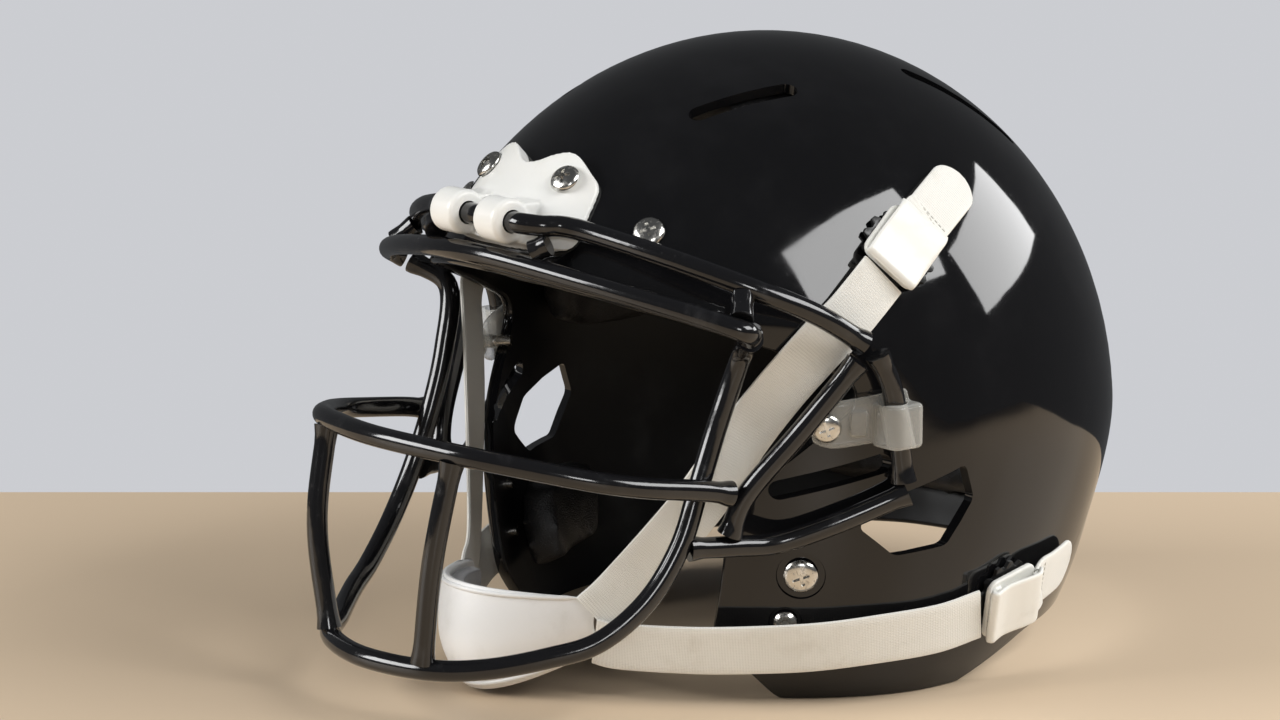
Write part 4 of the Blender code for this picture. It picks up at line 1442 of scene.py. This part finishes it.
@dataclass
class BrowClip:
    """The white clip on the forehead: a plate with two ears and two loops for the mask's top wire."""

    low_half: float = 36.0
    top_half: float = 31.0
    low: float = 159.3
    top: float = 183.0
    ear: float = 4.5
    thick: float = 6.5
    edge: float = 1.8
    axis: tuple[float, float, float] = (0.0, -138.0, 170.5)
    loop_outer: float = 8.0
    loop_x: tuple[float, float] = (6.3, 19.6)
    bore: float = 4.15
    swing_room: tuple[tuple[float, float], ...] = (
        (0.0, 20.8),
        (4.9, 20.8),
        (7.5, 25.0),
        (11.5, 28.0),
        (14.0, 30.5),
        (17.0, 34.0),
        (20.0, 38.0),
        (0.0, 38.0),
    )
    screw_at: tuple[float, float] = (21.0, 179.5)

    def plate(self) -> bmesh.types.BMesh:
        """The plate, domed in the middle and thin at its ends, with rounded corners."""
        sheet = bmesh.new()
        bmesh.ops.create_grid(sheet, x_segments=60, y_segments=26, size=1.0)
        for corner in sheet.verts:
            u, v = corner.co.x, corner.co.y
            u, v = u * math.sqrt(1.0 - 0.16 * v**6), v * math.sqrt(1.0 - 0.22 * u**6)
            share = 0.5 * (v + 1.0)
            half = self.low_half + (self.top_half - self.low_half) * share
            top = self.top + self.ear * math.sin(math.pi * abs(u)) ** 2
            swell = self.thick - (self.thick - self.edge) * u**4
            corner.co = FORM.front_point(u * half, self.low + (top - self.low) * share, swell)
        bmesh.ops.recalc_face_normals(sheet, faces=sheet.faces)
        grown = bmesh.ops.extrude_face_region(sheet, geom=sheet.faces[:])
        for corner in [item for item in grown["geom"] if isinstance(item, bmesh.types.BMVert)]:
            p = FORM.hit(FORM.heart, (corner.co - FORM.heart).normalized())
            corner.co = p + FORM.normal(p) * (0.1 * MM)
        bmesh.ops.recalc_face_normals(sheet, faces=sheet.faces)
        return sheet

    def loops(self) -> list[bmesh.types.BMesh]:
        """The two loops and the webs that carry them."""
        parts = []
        for side in Side:
            middle = 0.5 * (self.loop_x[0] + self.loop_x[1]) * side.value
            wide = self.loop_x[1] - self.loop_x[0]
            turn = Matrix.Rotation(math.pi / 2, 4, "Y")
            frame = Matrix.Translation(at(middle, self.axis[1], self.axis[2])) @ turn
            half, r = 0.5 * wide, self.loop_outer
            edge, rise = r - 1.2, half - 1.2
            profile = ((0.0, half), (edge, half), (r, rise), (r, -rise), (edge, -half), (0.0, -half))
            parts.append(turned(profile, frame, 48))
            web = Matrix.Translation(at(middle, self.axis[1] + 12.0, self.axis[2]))
            parts.append(block((wide - 1.0, 22.0, 12.0), web, 1.5, 1.2))
        return parts

    def build(self, finishes: Finishes) -> None:
        """Makes the clip and its screws."""
        body = fused([self.plate(), *self.loops()], 0.55, 6)
        tools = []
        turn = Matrix.Translation(at(*self.axis)) @ Matrix.Rotation(math.pi / 2, 4, "Y")
        profile = ((0.0, 40.0), (self.bore, 40.0), (self.bore, -40.0), (0.0, -40.0))
        tools.append(turned(profile, turn))
        for side in Side:
            turn = Matrix.Translation(at(*self.axis)) @ Matrix.Rotation(side.value * math.pi / 2, 4, "Y")
            tools.append(turned(self.swing_room, turn, 64))
        x, z = self.screw_at
        seats = {side: FORM.seat(FORM.front_point(x * side.value, z)) for side in Side}
        for seat in seats.values():
            top = self.thick
            profile = ((0.0, 20.0), (6.6, 20.0), (6.4, top - 0.4), (2.7, top - 1.2), (2.7, -1.0), (0.0, -1.0))
            tools.append(turned(profile, seat))
        body = carved(body, joined(tools))
        add_piece("brow_clip_body", body, finishes.clip, "helmet", ("brow_clip",), 50.0)
        for side, seat in seats.items():
            frame = seat @ Matrix.Translation((0.0, 0.0, (self.thick - 0.3) * MM))
            name = f"brow_screw_{side.word}"
            solid = screw(frame, 5.5, 2.5, 2.2, self.thick + 8.0)
            add_piece(f"cross_{name}", solid, finishes.steel, "helmet", (name,))


@dataclass
class SideClip:
    """A clear clip: a plate screwed to the cheek, raised panels, and a hook over the mask's rear wire."""

    start: float = -65.0
    length: float = 28.0
    height: float = 102.0
    slope: float = 0.18
    pivot: float = -61.0
    width: float = 17.0
    thick: float = 4.0
    lift: float = 0.9
    wire_at: tuple[float, float, float] = (115.6, -44.5, 100.0)
    wire_room: float = 5.0

    def spot(self, run: float, side: Side, lift: float) -> Vector:
        """A point along the clip's middle line."""
        y = self.start + run
        return FORM.side_point(y, self.height + self.slope * (y - self.pivot), side, lift)

    def build(self, finishes: Finishes) -> None:
        """Makes both clips and their screws."""
        for side in Side:
            runs = [self.length * k / 40 for k in range(41)]
            middle = [self.spot(run, side, self.lift + 0.5 * self.thick) for run in runs]
            spots = band_spots(middle, [FORM.normal(self.spot(run, side, 0.0)) for run in runs])
            half = 0.5 * self.width
            for run, spot in zip(runs, spots):
                rest = min(1.0, (run + 1.5) / half)
                spot.wide = math.sqrt(max(0.0, 1.0 - (1.0 - rest) ** 2))
            parts = [sweep(spots, band_outline(self.width * MM, self.thick * MM, 10, 4))]
            parts += self.panels(side)
            wire = at(self.wire_at[0] * side.value, self.wire_at[1], self.wire_at[2])
            grip = Matrix.Translation(wire + Vector((0.0, -0.5, 3.0)) * MM)
            parts.append(block((14.6, 14.6, 15.6), grip, 4.0, 1.5))
            body = carved(fused(parts, 0.5, 5), joined(self.tools(side, wire)))
            node = f"side_clip_{side.word}"
            add_piece(f"clear_{node}", body, finishes.clear, "helmet", (node,), 45.0)
            seat = FORM.seat(FORM.side_point(self.pivot, self.height, side))
            frame = seat @ Matrix.Translation((0.0, 0.0, (self.lift + self.thick + 0.1) * MM))
            node = f"side_screw_{side.word}"
            solid = screw(frame, 5.2, 2.2, 2.2, self.thick + 7.0)
            add_piece(f"cross_{node}", solid, finishes.steel, "helmet", (node,))

    def panels(self, side: Side) -> list[bmesh.types.BMesh]:
        """The raised panels and the frame round them."""
        parts = []
        for run, long, tall in ((12.5, 6.0, 9.0), (19.5, 5.0, 11.5)):
            seat = FORM.seat(self.spot(run, side, 0.0))
            lift = self.lift + self.thick + 0.2
            frame = seat @ Matrix.Translation((0.0, 0.0, lift * MM))
            parts.append(block((long, tall, 2.4), frame, 1.2, 0.5))
        return parts

    def tools(self, side: Side, wire: Vector) -> list[bmesh.types.BMesh]:
        """What is cut away: the way for the wire, the shell's side and the screw's hole."""
        low, high = at(114.0 * side.value, -51.8, 126.0), at(116.4 * side.value, -42.8, 85.0)
        turn = Vector((0.0, 0.0, 1.0)).rotation_difference((high - low).normalized()).to_matrix().to_4x4()
        r = self.wire_room
        way = turned(((0.0, 40.0), (r, 40.0), (r, -40.0), (0.0, -40.0)), Matrix.Translation(wire) @ turn)
        core = bmesh.new()
        bmesh.ops.create_uvsphere(core, u_segments=120, v_segments=72, radius=1.0)
        for corner in core.verts:
            p = FORM.hit(FORM.heart, corner.co.normalized())
            corner.co = p + FORM.normal(p) * (0.7 * MM)
        seat = FORM.seat(FORM.side_point(self.pivot, self.height, side))
        hole = turned(((0.0, 12.0), (2.6, 12.0), (2.6, -12.0), (0.0, -12.0)), seat)
        return [way, core, hole]


@dataclass
class Fasteners:
    """The screws through the shell alone, the rivets, and the studs that the chin strap snaps on."""

    forehead: tuple[float, float] = (54.0, 168.0)
    jaw: tuple[float, float] = (-66.0, 47.5)
    rivet: tuple[float, float] = (-68.0, 30.0)
    stud_base: float = 14.4
    teeth: int = 14
    tooth_root: float = 0.87

    def build(self, finishes: Finishes, frame_nodes: dict[str, bpy.types.Object]) -> None:
        """Makes them all and dresses the nuts."""
        for side in Side:
            x, z = self.forehead
            seats = (
                ("forehead_screw", FORM.seat(FORM.front_point(x * side.value, z)), 5.5),
                ("jaw_screw", FORM.seat(FORM.side_point(*self.jaw, side)), 6.0),
                ("jaw_rivet", FORM.seat(FORM.side_point(*self.rivet, side)), 4.3),
            )
            for word, seat, head in seats:
                node = f"{word}_{side.word}"
                solid = screw(seat, head, 2.2, 2.2, 6.2) if word != "jaw_rivet" else self.cap(seat, head)
                add_piece(f"cross_{node}", solid, finishes.steel, "helmet", (node,))
            for level, place in STUDS.items():
                node = f"{level.value}_stud_{side.word}"
                solid = self.stud(FORM.seat(FORM.side_point(*place, side)))
                add_piece(f"toothed_{node}", solid, finishes.stud, "helmet", (node,))
            nut = frame_nodes[f"brow_nut_{side.word}"]
            for holder in nut.material_slots:
                holder.material = finishes.steel

    @staticmethod
    def cap(seat: Matrix, head: float) -> bmesh.types.BMesh:
        """A rivet with a dimple in its head."""
        profile = (
            (0.0, 1.0),
            (head * 0.28, 1.1),
            (head * 0.42, 1.7),
            (head * 0.72, 1.8),
            (head * 0.95, 1.0),
            (head, 0.3),
            (2.0, 0.1),
            (2.0, -6.0),
            (0.0, -6.0),
        )
        return turned(profile, seat)

    def stud(self, seat: Matrix) -> bmesh.types.BMesh:
        """A ball stud on a toothed plate."""
        profile = [(0.0, 6.3), (1.6, 6.2), (3.0, 5.8), (4.0, 5.0), (3.6, 4.1), (2.9, 3.2), (4.6, 2.5)]
        profile += [(self.stud_base - 2.0, 2.3), (self.stud_base, 1.9), (self.stud_base, 0.6), (2.2, 0.5)]
        profile += [(2.2, -6.0), (0.0, -6.0)]
        solid = turned(profile, Matrix.Identity(4), self.teeth * 4)
        for corner in solid.verts:
            radius = math.hypot(corner.co.x, corner.co.y)
            if radius > (self.stud_base - 0.5) * MM:
                turn = math.atan2(corner.co.y, corner.co.x) / (0.5 * math.pi / self.teeth)
                if round(turn) % 4 in (0, 1):
                    corner.co.x *= self.tooth_root
                    corner.co.y *= self.tooth_root
        bmesh.ops.transform(solid, matrix=seat, verts=solid.verts)
        return solid


# ------------------------------------------------------------------ the chin strap


@dataclass
class ChinStrap:
    """The four straps: webbing, snap buckles with their levers, and the webbing's free tails."""

    width: float = 19.0
    thick: float = 1.6
    on_shell: dict[Level, tuple[tuple[float, float, float], ...]] = field(
        default_factory=lambda: {
            Level.UPPER: (
                (-41.8, 151.5, 4.6),
                (-50.0, 145.0, 3.4),
                (-57.5, 138.8, 2.4),
                (-65.0, 132.6, 2.4),
            ),
            Level.LOWER: ((-5.0, 30.5, 4.4), (-22.0, 27.5, 4.0)),
        }
    )
    free: dict[Level, tuple[tuple[float, float, float], ...]] = field(
        default_factory=lambda: {
            Level.UPPER: (
                (97.0, -72.3, 124.0),
                (89.8, -77.2, 113.5),
                (80.0, -83.5, 98.0),
                (66.0, -93.5, 72.0),
                (45.5, -109.0, 41.0),
                (38.6, -117.2, 30.5),
            ),
            Level.LOWER: (
                (105.5, -44.0, 24.5),
                (95.0, -62.0, 22.5),
                (83.0, -78.0, 21.5),
                (67.0, -94.0, 20.5),
                (45.0, -110.5, 20.0),
                (37.6, -116.4, 21.5),
            ),
        }
    )
    split: dict[Level, int] = field(default_factory=lambda: {Level.UPPER: 30, Level.LOWER: 20})
    lever: tuple[tuple[float, float], ...] = (
        (-13.2, 7.2),
        (-9.6, 9.4),
        (-4.5, 9.2),
        (1.0, 8.3),
        (6.0, 7.9),
        (10.0, 8.5),
        (12.3, 8.9),
        (12.9, 7.6),
        (11.6, 6.6),
    )
    tail_turn: dict[Level, float] = field(default_factory=lambda: {Level.UPPER: 4.0, Level.LOWER: 10.0})
    tail_length: dict[Level, float] = field(default_factory=lambda: {Level.UPPER: 33.0, Level.LOWER: 30.0})

    def build(self, finishes: Finishes) -> None:
        """Makes the straps of both sides."""
        for side in Side:
            for level in Level:
                route = self.route(level, side)
                self.webbing(level, side, route, finishes)
                turn = self.buckle_frame(level, side, route[0])
                self.buckle(level, side, turn, finishes)
                self.tail(level, side, turn, finishes)

    def route(self, level: Level, side: Side) -> list[Vector]:
        """The webbing's middle line from the buckle to the cup."""
        points = [FORM.side_point(y, z, side, lift) for y, z, lift in self.on_shell[level]]
        points += [at(x * side.value, y, z) for x, y, z in self.free[level]]
        return smooth_route(points, 8)

    @staticmethod
    def face(p: Vector) -> Vector:
        """Which way the webbing's broad face looks at a point."""
        way = p - FORM.heart
        return Vector((p.x, way.y * 0.55, way.z * 0.35)).normalized()

    def webbing(self, level: Level, side: Side, route: list[Vector], finishes: Finishes) -> None:
        """One strap in two lengths, split on its way from the buckle to the cup."""
        spots = band_spots(route, [self.face(p) for p in route])
        at_split = self.split[level]
        outline = band_outline(self.width * MM, self.thick * MM, 8, 4)
        run = sum((b - a).length for a, b in zip(route[:at_split], route[1 : at_split + 1]))
        near = sweep(spots[: at_split + 1], outline)
        far = sweep(spots[at_split:], outline, run)
        word = f"{level.value}_{side.word}"
        node = f"{level.value}_strap_{side.word}"
        top = add_piece(f"web_{word}_by_buckle", near, finishes.web, "", (node,))
        bottom = add_piece(f"web_{word}_to_cup", far, finishes.web)
        route[at_split - 2]
        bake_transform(top)
        route[at_split + 2]
        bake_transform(bottom)

    def buckle_frame(self, level: Level, side: Side, start: Vector) -> Matrix:
        """The buckle's frame: X along the webbing towards the cup, Z off the shell."""
        seat = FORM.seat(FORM.side_point(*STUDS[level], side))
        out = Vector(seat.col[2][:3])
        toward = start - seat.translation
        along = (toward - out * toward.dot(out)).normalized()
        turn = Matrix((along, out.cross(along), out)).transposed().to_4x4()
        turn.translation = seat.translation
        return turn

    def buckle(self, level: Level, side: Side, turn: Matrix, finishes: Finishes) -> None:
        """The snap buckle: a socket plate with cheeks, a bar, and a lever that curls over the webbing."""
        parts = [block((24.6, 23.6, 2.2), turn @ self.up(0.0, 0.0, 4.3), 4.0, 0.5)]
        parts.append(turned(((0.0, 7.9), (6.2, 7.9), (6.6, 6.2), (7.2, 4.0), (0.0, 4.0)), turn, 36))
        parts.append(block((3.4, 19.0, 4.0), turn @ self.up(8.6, 0.0, 6.3), 0.0, 0.6))
        path = smooth_route([turn @ (Vector((x, 0.0, z)) * MM) for x, z in self.lever], 6)
        out = Vector(turn.col[1][:3])
        spots = []
        for n, p in enumerate(path):
            along = (path[min(n + 1, len(path) - 1)] - path[max(n - 1, 0)]).normalized()
            spots.append(Spot(p, out, along.cross(out).normalized()))
        parts.append(sweep(spots, band_outline(21.6 * MM, 1.7 * MM, 6, 4)))
        pocket = turned(((0.0, 6.9), (4.9, 6.9), (4.9, -8.0), (0.0, -8.0)), turn)
        body = carved(fused(parts, 0.45, 4), pocket)
        node = f"{level.value}_buckle_{side.word}"
        add_piece(f"snap_{node}", body, finishes.buckle, node, (node,), 50.0)

    @staticmethod
    def up(x: float, y: float, z: float) -> Matrix:
        """A shift in millimetres."""
        return Matrix.Translation(Vector((x, y, z)) * MM)

    def tail(self, level: Level, side: Side, turn: Matrix, finishes: Finishes) -> None:
        """The webbing's free end beyond the buckle, rounded and hemmed, with its stitches."""
        out, along = Vector(turn.col[2][:3]), Vector(turn.col[0][:3])
        length = self.tail_length[level]
        way = Matrix.Rotation(-side.value * math.radians(self.tail_turn[level]), 3, out) @ along
        start = turn @ (Vector((-17.8, 0.0, 6.5)) * MM)
        points = []
        for k in range(6):
            p = start - way * (length * MM * k / 5)
            foot = FORM.hit(FORM.heart, (p - FORM.heart).normalized())
            points.append(foot + FORM.normal(foot) * ((5.0 - 0.5 * k) * MM))
        bridge = [turn @ (Vector((x, 0.0, z)) * MM) for x, z in ((-8.6, 7.6), (-13.4, 6.7))]
        route = smooth_route([*bridge, *points], 8)
        feet = [FORM.hit(FORM.heart, (p - FORM.heart).normalized()) for p in route]
        spots = band_spots(route, [FORM.normal(foot) for foot in feet])
        half = 0.5 * self.width * MM
        for spot in spots:
            left = (route[-1] - spot.point).length
            if left < half:
                spot.wide = max(0.18, math.sqrt(1.0 - (1.0 - left / half) ** 2))
        solid = sweep(spots, band_outline(self.width * MM, self.thick * MM, 8, 4))
        node = f"{level.value}_tail_{side.word}"
        body = f"{level.value}_buckle_{side.word}"
        add_piece(f"web_{node}", solid, finishes.web, body, (node,), 60.0)
        rows = [spots[k] for k in (14, 17)]
        stitches = []
        for spot in rows:
            for k in range(8):
                shift = (k - 3.5) * 2.0 * MM
                middle = spot.point + spot.across * shift + spot.out * (0.5 * self.thick * MM)
                base = Matrix((spot.across, spot.out.cross(spot.across), spot.out)).transposed().to_4x4()
                base.translation = middle
                stitches.append(block((1.3, 0.5, 0.5), base, 0.0, 0.16))
        thread = joined(stitches)
        add_piece(f"stitches_{node}", thread, finishes.thread, body)


@dataclass
class ChinCup:
    """The white cup, its raised rim and rib, and the soft liner behind it."""

    half_width: float = 38.0
    half_height: float = 20.0
    middle: float = 20.8
    side_rise: float = 7.0
    side_draw: float = 10.0
    front: float = -151.0
    depth: float = 34.0
    curl: float = 8.0
    wall: float = 2.4
    liner: float = 5.0

    def point(self, u: float, v: float) -> Vector:
        """A point of the cup's outer face."""
        high = self.middle + self.side_rise * u * u + v * (self.half_height - self.side_draw * u * u)
        curl = self.curl * v * v if v < 0.0 else 0.35 * self.curl * v * v
        return at(self.half_width * u, self.front + self.depth * abs(u) ** 2.2 + curl, high)

    def inward(self, u: float, v: float) -> Vector:
        """The direction from the cup's face towards the chin."""
        step = 0.004
        a = self.point(u + step, v) - self.point(u - step, v)
        b = self.point(u, v + step) - self.point(u, v - step)
        way = a.cross(b).normalized()
        return way if way.y > 0.0 else -way

    def bowl(self, share: float, sink: float, thick: float, cells: tuple[int, int]) -> bmesh.types.BMesh:
        """A layer of the cup.

        Args:
            share: How much of the cup's outline it covers.
            sink: How far it lies behind the outer face, in millimetres.
            thick: Its thickness in millimetres.
            cells: How finely it is laid out across and upwards.

        Returns:
            The layer.
        """
        sheet = bmesh.new()
        bmesh.ops.create_grid(sheet, x_segments=cells[0], y_segments=cells[1], size=1.0)
        ways = []
        for corner in sheet.verts:
            u, v = corner.co.x, corner.co.y
            u, v = u * math.sqrt(1.0 - 0.10 * v**4) * share, v * math.sqrt(1.0 - 0.16 * u**4) * share
            way = self.inward(u, v)
            ways.append(way)
            corner.co = self.point(u, v) + way * (sink * MM)
        front = {tuple(round(c, 7) for c in corner.co): way for corner, way in zip(sheet.verts, ways)}
        grown = bmesh.ops.extrude_face_region(sheet, geom=sheet.faces[:])
        for corner in [item for item in grown["geom"] if isinstance(item, bmesh.types.BMVert)]:
            corner.co = corner.co + front[tuple(round(c, 7) for c in corner.co)] * (thick * MM)
        bmesh.ops.recalc_face_normals(sheet, faces=sheet.faces)
        ring = [e for e in sheet.edges if e.calc_face_angle(0.0) > 1.0]
        soften(sheet, ring, min(0.8, 0.3 * thick), 3)
        return sheet

    def build(self, finishes: Finishes) -> None:
        """Makes the cup and its liner."""
        body = self.bowl(1.0, 0.0, self.wall, (56, 36))
        add_piece("cup_bowl", body, finishes.cup, "chin_cup", ("chin_cup",), 50.0)
        lining = self.bowl(0.93, self.wall + 0.7, self.liner, (34, 24))
        soft = add_piece("cup_liner", lining, finishes.liner, "chin_cup", ("chin_cup_pad",), 60.0)
        rib = []
        for v in (-0.86, 0.9):
            across = [k / 20 - 1.0 for k in range(2, 39)]
            route = [self.point(u, v) + self.inward(u, v) * (-0.1 * MM) for u in across]
            rib.append(sweep(wire_spots(route, -0.6, 4.0 * MM), round_outline(0.9 * MM, 10)))
        add_piece("cup_ribs", joined(rib), finishes.cup, "chin_cup")


# ------------------------------------------------------------------ pads


@dataclass
class Padding:
    """The cushions inside the shell: foam in soft vinyl, swollen as cloth."""

    bodies: dict[str, str] = field(
        default_factory=lambda: {
            "crown_pad": "helmet",
            "front_pad": "helmet",
            "back_pad": "helmet",
            "nape_pad": "helmet",
            "side_pad_left": "helmet",
            "side_pad_right": "helmet",
            "jaw_pad_left": "jaw_pad_left",
            "jaw_pad_right": "jaw_pad_right",
        }
    )
    voxel: float = 4.0
    shrink: float = 1.2
    cap: float = 3.0
    pressure: float = 4.0
    frames: int = 20

    def build(self, finishes: Finishes, frame_nodes: dict[str, bpy.types.Object]) -> None:
        """Makes every cushion."""
        blanks = {node: self.blank(frame_nodes[node]) for node in self.bodies}
        starts = {node: [v.co.copy() for v in item.data.vertices] for node, item in blanks.items()}
        self.swell(blanks)
        for node, item in blanks.items():
            solid = self.settled(item, starts[node])
            axes = {"use_axis_x": True, "use_axis_y": True, "use_axis_z": True}
            bmesh.ops.smooth_vert(solid, verts=solid.verts, factor=0.5, **axes)
            body = self.bodies[node]
            piece = add_piece(f"cushion_{node}", solid, finishes.pad, body, (node,), 180.0)
            piece.data.validate()

    def blank(self, node: bpy.types.Object) -> bpy.types.Object:
        """The CAD cushion's shape, a little shrunk and laid out afresh in even cells."""
        solid = bmesh.new()
        solid.from_mesh(node.data)
        bmesh.ops.remove_doubles(solid, verts=solid.verts, dist=0.01 * MM)
        solid.normal_update()
        for corner in solid.verts:
            corner.co -= corner.normal * (self.shrink * MM)
        item = bench(solid)
        remesh = item.modifiers.new("cells", "REMESH")
        remesh.mode = "VOXEL"
        remesh.voxel_size = self.voxel * MM
        return bench(take(item))

    def swell(self, blanks: dict[str, bpy.types.Object]) -> None:
        """Blows all the cushions up as cloth."""
        scene = bpy.context.scene
        for item in blanks.values():
            cloth = item.modifiers.new("cloth", "CLOTH")
            cloth.settings.quality = 5
            cloth.settings.use_pressure = True
            cloth.settings.uniform_pressure_force = self.pressure
            cloth.settings.effector_weights.gravity = 0.0
            cloth.point_cache.frame_end = self.frames
        for n in range(1, self.frames + 1):
            scene.frame_set(n)

    def settled(self, item: bpy.types.Object, start: list[Vector]) -> bmesh.types.BMesh:
        """The swollen cushion with no point moved further than the cap, once subdivided."""
        graph = bpy.context.evaluated_depsgraph_get()
        swollen = item.evaluated_get(graph).to_mesh()
        moved = [v.co.copy() for v in swollen.vertices]
        item.modifiers.clear()
        limit = self.cap * MM
        for vertex, old, new in zip(item.data.vertices, start, moved):
            shift = new - old
            if shift.length > limit:
                shift = shift.normalized() * limit
            vertex.co = old + shift
        finer = item.modifiers.new("finer", "SUBSURF")
        finer.levels = 1
        finer.render_levels = 1
        return take(item)


# ------------------------------------------------------------------ the studio


@dataclass
class Studio:
    """A pale floor and wall, soft lights and the camera."""

    camera_at: tuple[float, float, float] = (1.0989, -0.8948, 0.3854)
    look_at: tuple[float, float, float] = (-0.01303, -0.02543, 0.10698)
    lens: float = 110.4
    floor_colour: tuple[float, float, float] = (0.74, 0.58, 0.41)
    wall_colour: tuple[float, float, float] = (0.60, 0.61, 0.64)
    room_colour: tuple[float, float, float] = (0.085, 0.087, 0.09)
    table_back: float = 1.66

    def build(self) -> None:
        """Sets up everything round the helmet."""
        self.floor()
        self.wall()
        self.lamps()
        self.camera()

    def plain(self, name: str, colour: tuple[float, float, float], roughness: float) -> bpy.types.Material:
        """A plain stage material."""
        p = Paint(name)
        p.look(Base_Color=(*colour, 1.0), Roughness=roughness)
        return p.material

    def sheet(self, name: str, frame: Matrix, size: float, material: bpy.types.Material) -> None:
        """A flat square of the stage."""
        solid = bmesh.new()
        bmesh.ops.create_grid(solid, x_segments=2, y_segments=2, size=0.5 * size)
        bmesh.ops.transform(solid, matrix=frame, verts=solid.verts)
        mesh = bpy.data.meshes.new(name)
        solid.to_mesh(mesh)
        solid.free()
        mesh.materials.append(material)
        item = bpy.data.objects.new(name, mesh)
        bpy.context.scene.collection.objects.link(item)

    def floor(self) -> None:
        """The table top, whose back edge lies square to the camera a little behind the helmet."""
        eye = Vector(self.camera_at)
        ahead = Vector(self.look_at) - eye
        ahead = Vector((ahead.x, ahead.y, 0.0)).normalized()
        size = 5.0
        middle = Vector((eye.x, eye.y, -0.0005)) + ahead * (self.table_back - 0.5 * size)
        frame = Matrix.Translation(middle) @ Matrix.Rotation(math.atan2(ahead.y, ahead.x), 4, "Z")
        self.sheet("stage_floor", frame, size, self.plain("stage_floor", self.floor_colour, 0.45))

    def wall(self) -> None:
        """The surroundings: a pale wall for the eye, and a dim room for what the gloss mirrors."""
        world = bpy.data.worlds.new("studio")
        bpy.context.scene.world = world
        world.use_nodes = True
        tree = world.node_tree
        dim = tree.nodes["Background"]
        dim.inputs[0].default_value = (*self.room_colour, 1.0)
        pale = tree.nodes.new("ShaderNodeBackground")
        pale.inputs[0].default_value = (*self.wall_colour, 1.0)
        seen = tree.nodes.new("ShaderNodeLightPath")
        blend = tree.nodes.new("ShaderNodeMixShader")
        tree.links.new(seen.outputs["Is Camera Ray"], blend.inputs[0])
        tree.links.new(dim.outputs[0], blend.inputs[1])
        tree.links.new(pale.outputs[0], blend.inputs[2])
        tree.links.new(blend.outputs[0], tree.nodes["World Output"].inputs[0])

    def lamp(
        self, name: str, place: tuple[float, float, float], size: tuple[float, float], power: float
    ) -> None:
        """A soft box that looks at the helmet."""
        data = bpy.data.lights.new(name, "AREA")
        data.shape = "RECTANGLE"
        data.size, data.size_y = size
        data.energy = power
        item = bpy.data.objects.new(name, data)
        item.location = place
        way = Vector((0.0, 0.0, 0.13)) - Vector(place)
        item.rotation_euler = way.to_track_quat("-Z", "Y").to_euler()
        bpy.context.scene.collection.objects.link(item)

    def lamps(self) -> None:
        """The soft boxes."""
        self.lamp("key_box", (1.10, 0.44, 1.07), (1.10, 0.62), 19.0)
        self.lamp("rear_box", (0.50, 1.30, 0.70), (0.95, 0.40), 9.0)
        self.lamp("front_box", (-0.9, -1.9, 1.0), (1.4, 0.9), 44.0)
        self.lamp("camera_box", (1.9, -1.5, 0.9), (0.5, 0.5), 8.0)

    def camera(self) -> None:
        """The camera at the wanted angle."""
        bpy.context.scene.view_settings.view_transform = "Standard"
        data = bpy.data.cameras.new("camera")
        data.lens = self.lens
        data.sensor_width = 36.0
        data.clip_start = 0.05
        item = bpy.data.objects.new("camera", data)
        item.location = self.camera_at
        way = Vector(self.look_at) - Vector(self.camera_at)
        item.rotation_euler = way.to_track_quat("-Z", "Y").to_euler()
        bpy.context.scene.collection.objects.link(item)
        bpy.context.scene.camera = item


def main() -> None:
    """Loads the frame and builds every class in order."""
    logging.basicConfig(level=logging.INFO, format="%(message)s")
    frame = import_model()
    nodes = frame["nodes"]
    finishes = Finishes()
    HardShell().build(finishes)
    FaceMask().build(finishes)
    BrowClip().build(finishes)
    SideClip().build(finishes)
    Fasteners().build(finishes, nodes)
    ChinStrap().build(finishes)
    ChinCup().build(finishes)
    Padding().build(finishes, nodes)
    Studio().build()


if __name__ == "__main__":
    main()
